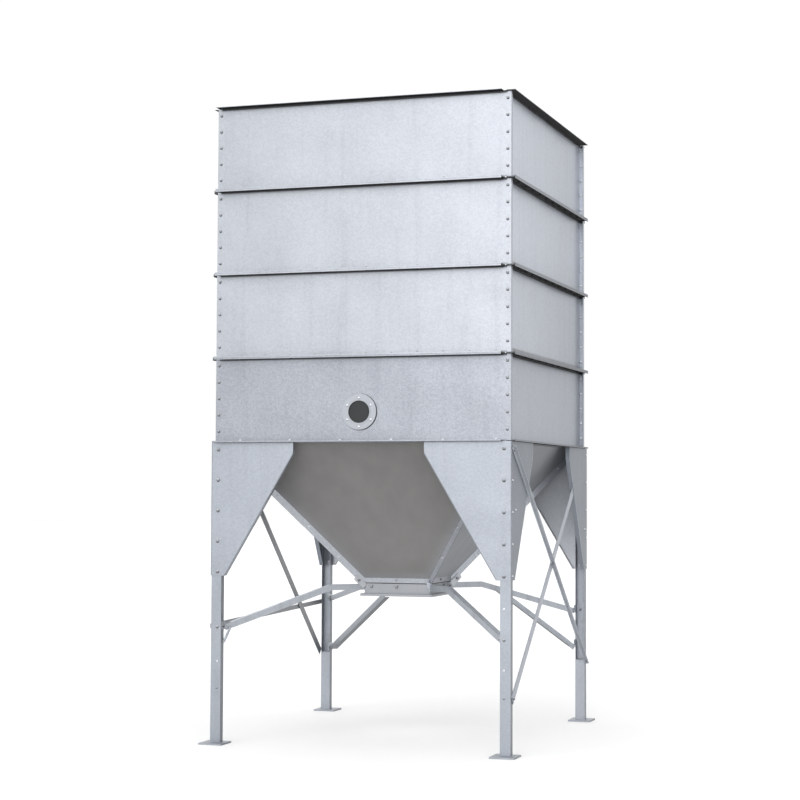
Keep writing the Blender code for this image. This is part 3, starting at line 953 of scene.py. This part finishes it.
@dataclass
class Assembly:
    """Pieces of one sub-assembly, which all ride on the silo's one body."""

    shop: FastenerShop

    def keep(self, piece: bpy.types.Object, slot: str) -> None:
        """Lets a finished piece ride on the silo and logs its face count.

        Args:
            piece: The piece, in place.
            slot: Not used.
        """
        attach(piece, BODY)
        LOG.info("%s: %d faces", piece.name, len(piece.data.polygons))

    def soften(
        self,
        node: str,
        finish: Finish,
        slot: str,
        width: float = 0.0011,
        holes: Sequence[Spot] = (),
        hole_radius: float = 0.0,
    ) -> None:
        """Copies a solid, drills it, rounds its edges and shows the copy in its place.

        Args:
            node: The solid's name.
            finish: The copy's finish.
            slot: The record's material slot.
            width: How much of each edge is rounded off.
            holes: Places and axes of empty bolt holes.
            hole_radius: Their radius.
        """
        deselect()
        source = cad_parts[node]
        piece = bpy.data.objects.new(f"{node}_sheet", source.data.copy())
        bpy.context.collection.objects.link(piece)
        piece.data.materials.clear()
        piece.data.materials.append(finish.material)
        if holes:
            drill(piece, holes, hole_radius, DRILL_REACH)
        with editing(piece, "VERT"):
            bpy.ops.mesh.select_all(action="SELECT")
            bpy.ops.mesh.remove_doubles(threshold=MERGE)
            bpy.ops.mesh.dissolve_limited(angle_limit=math.radians(FLAT_DEGREES))
        round_edges(piece, width)
        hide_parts(node)
        self.keep(piece, slot)

    def fasten(
        self,
        name: str,
        size: Thread,
        head: Head,
        spots: Iterable[Spot],
        slot: str = "frame_steel",
        painted_light: PaintedLight = PaintedLight.PLAIN,
    ) -> None:
        """Sets one fastener on each spot and joins them.

        Args:
            name: The name of the joined piece.
            size: The thread.
            head: What shows.
            spots: The places on the surface and the directions out of it.
            slot: The record's material slot.
            painted_light: Which painted light their zinc takes.
        """
        stock = self.shop.model(size, head, painted_light)
        copies = []
        for number, (place, outward) in enumerate(spots):
            twin = stock.copy()
            twin.data = stock.data.copy()
            twin.data.transform(aim(place, outward, FIRST_SPIN + SPIN_STEP * number))
            bpy.context.collection.objects.link(twin)
            copies.append(twin)
        self.keep(join(copies, name), slot)

    def straps(
        self,
        name: str,
        size: Size,
        places: Iterable[Matrix],
        finish: Finish,
    ) -> None:
        """Lays small plates of one size on surfaces and joins them.

        Args:
            name: The name of the joined piece.
            size: Their length, width, thickness and corner radius.
            places: The matrices that take a plate from the origin to its place.
            finish: Their finish.
        """
        plates = []
        for where in places:
            plate = add_strap(*size)
            plate.data.transform(where)
            plates.append(plate)
        piece = join(plates, name)
        piece.data.materials.append(finish.material)
        self.keep(piece, "frame_steel")


def turned(face: str, spot: Spot) -> Spot:
    """Turns a spot on the front face to another face of the square body.

    Args:
        face: The face it goes to.
        spot: The place and direction on the front face.

    Returns:
        The place and direction on that face.
    """
    turn = Matrix.Rotation(math.pi / 2 * FACES.index(face), 3, "Z")
    return turn @ spot[0], turn @ spot[1]


def level_on(face: str, place: Vector) -> Matrix:
    """Gives the matrix that lays a strap level on a face of the square body.

    Args:
        face: The face that it lies on.
        place: Its place on the front face.

    Returns:
        The 4 by 4 matrix.
    """
    where, outward = turned(face, (place, Vector((0, -1, 0))))
    along = turned(face, (place, Vector((1, 0, 0))))[1]
    return framed(where, along, outward)


def bolt(x: float, y: float, z: float, way: Sequence[float]) -> Spot:
    """Gives the spot of one fastener from its coordinates and its direction."""
    return Vector((x, y, z)), Vector(way)


@dataclass
class Body(Assembly):
    """Four tiers of wall panels with corner bolts, flange bolts and painted shadow strips at the
    corners.
    """

    sheet: float = 0.003
    gap: float = 0.0003
    corner_inset: float = 0.0105
    corner_first: float = 0.037
    corner_pitch: float = 0.083
    corner_count: int = 5
    flange_line: float = 0.028
    flange_first: float = -0.629
    flange_pitch: float = 0.134
    flange_count: int = 11
    # Size and place of the near black strips that paint the shadow at the corners between tiers.
    shadow_band: Size = (0.0365, 0.0044, 0.0012, 0.0008)
    shadow_band_x: float = 0.7598

    def build(self) -> None:
        """Dresses the panels and sets their bolts."""
        for tier in TIERS:
            low = tier == TIERS[0]
            wide = Finish.LOW_WALL if low else Finish.WALL
            narrow = Finish.LOW_SIDE_WALL if low else Finish.SIDE_WALL
            for face in FACES:
                finish = wide if face in WIDE_FACES else narrow
                self.soften(f"wall_{face}_{tier}", finish, "body_steel")
        self._corner_bolts()
        self._flange_bolts()
        self._corner_shadow_bands()

    @property
    def half(self) -> float:
        """Half the inner width of the body."""
        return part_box("wall_right_1")[0].x

    @property
    def line(self) -> float:
        """Distance of the flange bolts from the silo's axis."""
        return self.half + self.sheet + self.flange_line

    def _levels(self, tier: int) -> tuple[float, float]:
        """Lowest and highest point of a tier."""
        low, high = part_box(f"wall_front_{tier}")
        return low.z, high.z

    def _stations(self) -> list[float]:
        """Places of the flange bolts along a face."""
        return [self.flange_first + step * self.flange_pitch for step in range(self.flange_count)]

    def _corner_bolts(self) -> None:
        """Sets the upright rows that join the front and back panels to the side ones."""
        face_y = self.half + self.sheet
        inner_y = self.half - self.sheet - self.gap
        column = self.half + self.corner_inset
        for name, (sx, sy) in CORNERS.items():
            heads = []
            nuts = []
            for tier in TIERS:
                top = self._levels(tier)[1]
                for step in range(self.corner_count):
                    z = top - self.corner_first - step * self.corner_pitch
                    heads.append(bolt(sx * column, sy * face_y, z, (0, sy, 0)))
                    nuts.append(bolt(sx * column, sy * inner_y, z, (0, -sy, 0)))
            self.fasten(f"corner_bolts_{name}", M8, Head.ROUND, heads)
            # The nuts inside take the lit copy of the zinc, a painted highlight.
            self.fasten(f"corner_nuts_{name}", M6, Head.NUT, nuts, painted_light=PaintedLight.BRIGHT)

    def _flange_bolts(self) -> None:
        """Sets the level rows that join one tier's flanges to the next one's."""
        for face in FACES:
            nuts = []
            bright = []
            heads = []
            for tier in TIERS:
                low = self._levels(tier)[0]
                upper = tier > TIERS[0]
                row = nuts if upper else bright
                for x in self._stations()[:: 1 if upper else 2]:
                    row.append(turned(face, bolt(x, -self.line, low + self.sheet, (0, 0, 1))))
                    if upper:
                        below = bolt(x, -self.line, low - self.gap - self.sheet, (0, 0, -1))
                        heads.append(turned(face, below))
            kind = Head.NUT if face in WIDE_FACES else Head.ROUND
            self.fasten(f"flange_nuts_{face}", M8, kind, nuts)
            # The lowest row's nuts take the lit copy of the zinc, a painted highlight, and the
            # heads under the flanges take the shaded copy, painted shade.
            self.fasten(f"low_flange_nuts_{face}", M8, kind, bright, painted_light=PaintedLight.BRIGHT)
            self.fasten(f"flange_bolts_{face}", M8, Head.ROUND, heads, painted_light=PaintedLight.SHADED)

    def _corner_shadow_bands(self) -> None:
        """Lays near black strips that paint the shadow between two tiers where no flange covers
        it.
        """
        for face in WIDE_FACES:
            places = []
            for tier in TIERS:
                lift = self.gap / 2 if tier < TIERS[-1] else -self.shadow_band[1] / 2
                z = self._levels(tier)[1] + lift
                places.append(level_on(face, Vector((self.shadow_band_x, -self.half - self.sheet, z))))
            self.straps(f"corner_painted_shadow_{face}", self.shadow_band, places, Finish.RUBBER)


@dataclass
class SightGlass(Assembly):
    """Dark pane behind a screwed ring with a raised inner bead, and a near black ring that paints
    the ring's shadow.
    """

    ring_rounding: float = 0.0012
    pane_rounding: float = 0.0006
    screw_circle: float = 0.0715
    screws: int = 6
    screw_drop: float = 0.0035
    bead_outer: float = 0.0615
    bead_inner: float = 0.0555
    bead_height: float = 0.0022
    # Size and offset of the near black ring that paints the ring's shadow, shifted right and
    # down.
    shadow_band_reach: float = 0.0012
    shadow_band_width: float = 0.005
    shadow_band_sheet: float = 0.003
    shadow_band_shift: tuple[float, float, float] = (0.0013, 0.0, -0.0009)

    def build(self) -> None:
        """Dresses the ring and the pane and sets the screws."""
        self.soften("sight_glass_ring", Finish.RING, "ring_steel", self.ring_rounding)
        self.soften("sight_glass_pane", Finish.GLASS, "dark_glass", self.pane_rounding)
        low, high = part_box("sight_glass_ring")
        centre = (low + high) / 2
        # A near black ring behind the sight glass ring, shifted right and down, paints its shadow
        # on the panel.
        outer = (high.x - low.x) / 2 + self.shadow_band_reach
        wall = Vector((centre.x, high.y, centre.z)) + Vector(self.shadow_band_shift)
        front = Vector((centre.x, low.y, centre.z))
        shadow_band = (outer, outer - self.shadow_band_width, self.shadow_band_sheet)
        self._hoop("sight_glass_painted_shadow", shadow_band, wall, Finish.RUBBER, "dark_glass")
        bead = (self.bead_outer, self.bead_inner, self.bead_height)
        self._hoop("sight_glass_bead", bead, front, Finish.RING, "ring_steel")
        spots = []
        for step in range(self.screws):
            angle = math.tau * step / self.screws + math.pi / 2
            offset = Vector((math.cos(angle), 0, math.sin(angle))) * self.screw_circle
            offset.z -= self.screw_drop
            spots.append((front + offset, Vector((0, -1, 0))))
        # The screws take the lit copy of the zinc, a painted highlight.
        self.fasten("sight_glass_screws", M6, Head.ROUND, spots, "ring_steel", PaintedLight.BRIGHT)

    def _hoop(
        self, name: str, size: tuple[float, float, float], base: Vector, finish: Finish, slot: str
    ) -> None:
        """Models a flat ring that stands out from a place on the front panel.

        Args:
            name: Its name.
            size: Its outer radius, its inner radius and how far it stands out.
            base: The middle of its back.
            finish: Its finish.
            slot: The record's material slot.
        """
        outer, inner, depth = size
        middle = Vector((0, 0, depth / 2))
        hoop = add_drum(outer, depth, middle, HOOP_SIDES)
        bore = add_drum(inner, 4 * depth, middle, HOOP_SIDES)
        apply_modifier(hoop, "BOOLEAN", operation="DIFFERENCE", solver="EXACT", object=bore)
        bpy.data.objects.remove(bore, do_unlink=True)
        round_edges(hoop, depth * 0.3)
        hoop.data.transform(aim(base, Vector((0, -1, 0))))
        hoop.name = name
        hoop.data.name = name
        hoop.data.materials.clear()
        hoop.data.materials.append(finish.material)
        self.keep(hoop, slot)


@dataclass
class Hopper(Assembly):
    """Slanted plates bolted through their corner fins, and the outlet frame."""

    fin_levels: tuple[float, ...] = (0.927, 1.083, 1.239, 1.395)
    fin_middle: float = 0.014
    fin_sheets: float = 0.0033
    top_half: float = 0.727
    slant_bottom: float = 0.8145
    ring_half: float = 0.1797
    collar_half: float = 0.183
    ring_level: float = 0.770
    ring_hole: tuple[float, float] = (0.1323, 0.7713)
    ring_hole_radius: float = 0.007
    wide_ring_bolts: tuple[float, float] = (-0.1417, -0.0024)
    narrow_ring_bolts: tuple[float, float] = (-0.06, 0.06)
    collar_bolt: float = -0.0037
    rim_bolt: tuple[float, float, float] = (-0.02, -0.19, 0.73)
    collar_level: float = 0.805
    clip: Size = (0.076, 0.032, 0.005, 0.009)
    clip_half: float = 0.199
    clip_level: float = 0.795
    clip_bolt: float = 0.012
    clip_rise: float = 1.35
    corner_clip_x: float = 0.1785
    corner_clip_gap: float = 0.0004
    corner_clip_level: float = 0.7865
    corner_clip_bolt: tuple[float, float] = (0.1776, 0.803)
    corner_clip: Size = (0.045, 0.027, 0.003, 0.012)
    # Size and height of the near black strips that paint the shadow under the collar.
    shadow_band: Size = (0.352, 0.004, 0.0025, 0.0008)
    shadow_band_level: float = 0.7875

    def build(self) -> None:
        """Dresses the plates and the outlet and sets their bolts."""
        for face in FACES:
            finish = Finish.HOPPER if face in WIDE_FACES else Finish.SIDE_HOPPER
            self.soften(f"hopper_{face}", finish, "hopper_steel")
        hole = bolt(self.ring_half, *self.ring_hole, (1, 0, 0))
        self.soften(
            "outlet_frame",
            Finish.OUTLET,
            "frame_steel",
            holes=(hole,),
            hole_radius=self.ring_hole_radius,
        )
        self._fin_bolts()
        self._outlet_bolts()
        self._outlet_shadow_band()
        self._clips()

    def _half(self, z: float) -> float:
        """Half width of the hopper's outside at a height."""
        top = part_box("hopper_front")[1].z
        slope = (top - self.slant_bottom) / (self.top_half - self.collar_half)
        return self.top_half - (top - z) / slope

    def _across(self, sx: int, sy: int) -> Vector:
        """Direction out of a corner fin's face, on its side towards the front."""
        across = Vector((sx, -sy, 0)).normalized()
        return -across if across.y > 0 else across

    def _fin_bolts(self) -> None:
        """Sets bolts and nuts through the corner fins."""
        heads = []
        nuts = []
        for sx, sy in CORNERS.values():
            across = self._across(sx, sy)
            for z in self.fin_levels:
                half = self._half(z) + self.fin_middle
                centre = Vector((sx * half, sy * half, z))
                heads.append((centre + across * self.fin_sheets, across))
                nuts.append((centre - across * self.fin_sheets, -across))
        # The fin bolts and nuts take the lit copy of the zinc, a painted highlight.
        self.fasten("hopper_fin_bolts", M6, Head.HEX, heads, "hopper_steel", PaintedLight.BRIGHT)
        self.fasten("hopper_fin_nuts", M6, Head.NUT, nuts, "hopper_steel", PaintedLight.BRIGHT)

    def _outlet_bolts(self) -> None:
        """Sets bolts on the outlet's ring, its collar and under its rim."""
        ring = []
        collar = []
        rim = []
        out = (0, -1, 0)
        for face in FACES:
            for x in self.wide_ring_bolts if face in WIDE_FACES else self.narrow_ring_bolts:
                ring.append(turned(face, bolt(x, -self.ring_half, self.ring_level, out)))
            edge = bolt(self.collar_bolt, -self.collar_half, self.collar_level, out)
            collar.append(turned(face, edge))
            rim.append(turned(face, bolt(*self.rim_bolt, (0, 0, -1))))
        self.fasten("outlet_ring_bolts", M10, Head.HEX, ring)
        self.fasten("outlet_collar_bolts", M6, Head.HEX, collar)
        # The rim bolts take the shaded copy of the zinc, painted shade.
        self.fasten("outlet_rim_bolts", M8, Head.HEX, rim, painted_light=PaintedLight.SHADED)

    def _outlet_shadow_band(self) -> None:
        """Lays near black strips that paint the shadow under the collar, on the outlet's ring."""
        place = Vector((0, -self.ring_half, self.shadow_band_level))
        places = [level_on(face, place) for face in FACES]
        self.straps("outlet_painted_shadow", self.shadow_band, places, Finish.RUBBER)

    def _clips(self) -> None:
        """Lays the clips that tie the fins' lower ends to the outlet."""
        bolts = []
        for name, (sx, sy) in CORNERS.items():
            if name == "front_right":
                out = Vector((0, -1, 0))
                face = -self.collar_half - self.corner_clip_gap
                place = Vector((self.corner_clip_x, face, self.corner_clip_level))
                where = framed(place, Vector((0, 0, 1)), out)
                self.straps(f"fin_clip_{name}", self.corner_clip, [where], Finish.GUSSET)
                x, z = self.corner_clip_bolt
                bolts.append(bolt(x, face - self.corner_clip[2], z, out))
                continue
            across = self._across(sx, sy)
            place = Vector((sx * self.clip_half, sy * self.clip_half, self.clip_level))
            place += across * self.fin_sheets
            along = Vector((sx, sy, self.clip_rise))
            where = framed(place, along, across)
            self.straps(f"fin_clip_{name}", self.clip, [where], Finish.CLIP)
            step = along.normalized() * self.clip_bolt
            bolts.append((place + across * self.clip[2] + step, across))
        self.fasten("fin_clip_bolts", M8, Head.HEX, bolts)


@dataclass
class Legs(Assembly):
    """Channel legs on foot plates, with the gussets that carry the body."""

    bolt_top: float = 1.474
    bolt_pitch: float = 0.1535
    bolt_count: int = 5
    bolt_x: float = 0.75
    side_y: float = 0.757
    web: float = 0.773
    web_sheet: float = 0.003
    holes: tuple[float, ...] = (0.412, 0.706)
    hole_radius: float = 0.0046
    low_bolts: tuple[float, ...] = (0.278, 0.335, 0.335, 0.278)
    strut_levels: tuple[float, ...] = (0.556, 0.614, 0.650, 0.583)
    front_extra: tuple[float, float] = (0.7016, 1.1779)
    back_extra: tuple[float, float] = (0.7179, 1.061)

    def build(self) -> None:
        """Dresses the legs and gussets and sets their bolts."""
        for name, (sx, sy) in CORNERS.items():
            levels = {"front_right": self.holes, "front_left": self.holes[:1]}.get(name, ())
            holes = [bolt(sx * self.bolt_x, sy * self.web, z, (0, sy, 0)) for z in levels]
            self.soften(
                f"leg_{name}",
                Finish.LEG,
                "frame_steel",
                holes=holes,
                hole_radius=self.hole_radius,
            )
        for face in FACES:
            wide = face in WIDE_FACES
            finish = Finish.SIDE_GUSSET
            if wide:
                finish = Finish.GUSSET if face == "front" else Finish.BACK_GUSSET
            for end in ("left", "right") if wide else WIDE_FACES:
                self.soften(f"gusset_{face}_{end}", finish, "frame_steel")
        self._gusset_bolts()
        self._leg_bolts()

    @property
    def inner(self) -> float:
        """Distance of the webs' inner faces from the silo's axis."""
        return self.web - self.web_sheet

    def _gusset_bolts(self) -> None:
        """Sets the upright rows of bolts through gussets and legs."""
        heights = [self.bolt_top - step * self.bolt_pitch for step in range(self.bolt_count)]
        front_y = abs(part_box("gusset_front_right")[0].y)
        side_x = abs(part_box("gusset_right_front")[1].x)
        for name, (sx, sy) in CORNERS.items():
            x = sx * self.bolt_x
            heads = [bolt(x, sy * front_y, z, (0, sy, 0)) for z in heights]
            nuts = [bolt(x, sy * self.inner, z, (0, -sy, 0)) for z in heights]
            extra = self.front_extra if sy < 0 else self.back_extra
            side = [*((self.side_y, z) for z in heights), extra]
            small = [bolt(sx * side_x, sy * y, z, (sx, 0, 0)) for y, z in side]
            self.fasten(f"gusset_bolts_{name}", M10, Head.ROUND, heads)
            # The inner nuts and the small side bolts take the lit copy of the zinc, a painted
            # highlight.
            self.fasten(f"gusset_nuts_{name}", M8, Head.NUT, nuts, painted_light=PaintedLight.BRIGHT)
            self.fasten(f"side_gusset_bolts_{name}", M6, Head.ROUND, small, painted_light=PaintedLight.BRIGHT)

    def _leg_bolts(self) -> None:
        """Sets the bolts through the lower legs."""
        heads = []
        nuts = []
        small = []
        for (sx, sy), strut, low in zip(CORNERS.values(), self.strut_levels, self.low_bolts):
            x = sx * self.bolt_x
            heads.append(bolt(x, sy * self.web, strut, (0, sy, 0)))
            small.append(bolt(x, sy * self.web, low, (0, sy, 0)))
            nuts.append(bolt(x, sy * self.inner, strut, (0, -sy, 0)))
        self.fasten("leg_bolts", M8, Head.ROUND, heads)
        self.fasten("low_leg_bolts", M6, Head.ROUND, small)
        self.fasten("leg_nuts", M8, Head.NUT, nuts)


@dataclass
class Bracing(Assembly):
    """Struts to the outlet, side braces and the tie."""

    rounding: float = 0.0008
    strut_levels: tuple[float, ...] = (0.56, 0.62, 0.655, 0.59)
    low_strut_levels: tuple[float, float] = (0.374, 0.431)
    tab_x: float = 0.7267
    tab_y: float = 0.7547
    ring_bolt: tuple[float, float, float] = (0.183, 0.15, 0.767)
    flat_bolts: tuple[Point, ...] = (
        (0.7883, -0.742, 0.2777),
        (-0.7883, 0.715, 0.3545),
        (-0.7834, -0.485, 1.4610),
    )
    tie_bolts: tuple[Point, ...] = ((-0.7924, -0.750, 0.5864), (-0.7924, 0.750, 0.6296))
    angle_bolts: tuple[Point, ...] = (
        (0.7912, -0.745, 1.4645),
        (0.7893, 0.0050, 0.8895),
        (0.7874, 0.7430, 0.3240),
    )
    cleat_low: Point = (-0.7262, -0.737, 0.513)
    cleat_high: Point = (-0.706, -0.717, 0.574)
    cleat: tuple[float, float, float] = (0.012, 0.003, 0.004)
    cleat_overhang: float = 0.02
    slot_place: Point = (0.7705, 0.4815, 1.254)
    slot_along: Point = (0.0, 0.334, -0.605)
    slot_lift: float = 0.0002
    # Size of the near black plate that paints the shadow in the brace's slot.
    slot_shadow_plate: Size = (0.052, 0.0055, 0.0012, 0.0015)

    def build(self) -> None:
        """Dresses the bars and sets their bolts."""
        struts = [f"strut_{name}" for name in (*CORNERS, "low_back_left", "low_back_right")]
        for node, finish in (
            *((strut, Finish.STRUT) for strut in struts),
            ("brace_right_down", Finish.ANGLE_BRACE),
            ("brace_right_up", Finish.BRACE),
        ):
            self.soften(node, finish, "frame_steel", self.rounding)
        # The left brace and tie take the shaded copy of the brace zinc: painted shade.
        for node in ("brace_left", "tie_left"):
            self.soften(node, Finish.DARK_BRACE, "frame_steel")
        self._strut_bolts()
        self.fasten("brace_bolts", M8, Head.HEX, self._sideways(self.flat_bolts))
        self.fasten("tie_bolts", M6, Head.ROUND, self._sideways(self.tie_bolts))
        self.fasten("angle_brace_bolts", M6, Head.HEX, self._sideways(self.angle_bolts))
        self._cleat()
        self._slot_shadow()

    def _sideways(self, points: Iterable[Point]) -> list[Spot]:
        """Gives spots that look away from the silo on its left and right sides."""
        return [bolt(*point, (math.copysign(1.0, point[0]), 0, 0)) for point in points]

    def _strut_bolts(self) -> None:
        """Sets the bolts through the struts' tabs on the legs."""
        spots = []
        for (sx, sy), z in zip(CORNERS.values(), self.strut_levels):
            spots.append(bolt(sx * self.tab_x, sy * self.tab_y, z, (-sx, 0, 0)))
        for sx, z in zip((-1, 1), self.low_strut_levels):
            spots.append(bolt(sx * self.tab_x, self.tab_y, z, (-sx, 0, 0)))
        self.fasten("strut_tab_bolts", M8, Head.HEX, spots)
        x, y, z = self.ring_bolt
        ring = [bolt(sx * x, sy * y, z, (sx, 0, 0)) for sx, sy in CORNERS.values()]
        self.fasten("strut_ring_bolts", M8, Head.HEX, ring)

    def _cleat(self) -> None:
        """Lays the short cleat below the front left strut."""
        low = Vector(self.cleat_low)
        high = Vector(self.cleat_high)
        along = high - low
        where = framed((low + high) / 2, along, Vector((1, -1, 0)))
        size = (along.length + self.cleat_overhang, *self.cleat)
        self.straps("strut_cleat", size, [where], Finish.STRUT)

    def _slot_shadow(self) -> None:
        """Lays a near black plate that paints the shadow in the slot that the right flat brace
        passes through.
        """
        along = Vector(self.slot_along).normalized()
        out = along.cross(Vector((1, 0, 0))).normalized()
        where = framed(Vector(self.slot_place) + out * self.slot_lift, along, out)
        self.straps("brace_slot_painted_shadow", self.slot_shadow_plate, [where], Finish.RUBBER)


# Studio


@dataclass
class Studio:
    """Pale floor, soft light and the camera at the photograph's viewing angle."""

    eye: Vector = field(default_factory=lambda: Vector((3.209, -9.372, 1.249)))
    yaw: float = 17.942
    pitch: float = 2.926
    roll: float = 0.195
    focal_pixels: float = 1858.8
    image_pixels: float = 800.0
    axis_pixel: float = 440.0
    sensor: float = 36.0
    floor_half: float = 60.0
    surround: float = 1.0
    rise: float = 0.25
    key: float = 4.0
    key_way: tuple[float, float, float] = (0.189, -0.970, 0.156)
    key_edge: float = 0.80
    sun: float = 0.35
    sun_degrees: float = 25.0
    sun_way: tuple[float, float, float] = (0.45, 1.0, -0.95)

    def build(self) -> None:
        """Builds the floor, the lights and the camera."""
        self._floor()
        self._surround()
        self._sun()
        self._camera()
        bpy.context.scene.view_settings.view_transform = "Standard"

    def _floor(self) -> None:
        """Lays a wide pale floor."""
        deselect()
        bpy.ops.mesh.primitive_plane_add(size=2 * self.floor_half)
        floor = bpy.context.object
        floor.name = "studio_floor"
        finish = PlainFinish("pale_floor", (0.86, 0.86, 0.86), 0.85, 0.02, 1.5)
        floor.data.materials.append(finish.material())

    def _surround(self) -> None:
        """Gives the studio a white surround, brighter above and behind the camera."""
        world = bpy.data.worlds.new("studio_surround")
        world.use_nodes = True
        graph = Graph(world.node_tree)
        way = graph.node("ShaderNodeTexCoord", output="Generated")
        above = graph.part(way, "Z").clamp_step(0.0, 1.0)
        towards = graph.node(
            "ShaderNodeVectorMath",
            {"operation": "DOT_PRODUCT"},
            {0: way, 1: Vector(self.key_way).normalized()},
            "Value",
        )
        strength = self.surround + self.rise * above
        strength = strength + self.key * towards.clamp_step(self.key_edge, 1.0)
        background = world.node_tree.nodes["Background"]
        graph.feed(background.inputs["Strength"], strength)
        graph.feed(background.inputs["Color"], (1.0, 1.0, 1.0, 1.0))
        bpy.context.scene.world = world

    def _sun(self) -> None:
        """Adds one wide soft sun from the front left, above."""
        data = bpy.data.lights.new("soft_sun", "SUN")
        data.energy = self.sun
        data.angle = math.radians(self.sun_degrees)
        lamp = bpy.data.objects.new("soft_sun", data)
        lamp.rotation_euler = Vector(self.sun_way).to_track_quat("-Z", "Y").to_euler()
        bpy.context.collection.objects.link(lamp)

    def _camera(self) -> None:
        """Stands the camera at the photograph's viewing angle."""
        data = bpy.data.cameras.new("photo_camera")
        data.sensor_width = self.sensor
        data.lens = self.sensor * self.focal_pixels / self.image_pixels
        data.shift_x = (self.image_pixels / 2 - self.axis_pixel) / self.image_pixels
        camera = bpy.data.objects.new("photo_camera", data)
        camera.matrix_world = (
            Matrix.Translation(self.eye)
            @ Matrix.Rotation(math.radians(self.yaw), 4, "Z")
            @ Matrix.Rotation(math.radians(90 + self.pitch), 4, "X")
            @ Matrix.Rotation(math.radians(self.roll), 4, "Z")
        )
        bpy.context.collection.objects.link(camera)
        bpy.context.scene.camera = camera


def main() -> None:
    """Builds the silo's pieces in order and the studio round them."""
    logging.basicConfig(level=logging.INFO, format="%(name)s %(message)s")
    shop = FastenerShop()
    for assembly in (Body, SightGlass, Hopper, Legs, Bracing):
        LOG.info("building %s", assembly.__name__)
        assembly(shop).build()
    shop.clear()
    Studio().build()


if __name__ == "__main__":
    main()
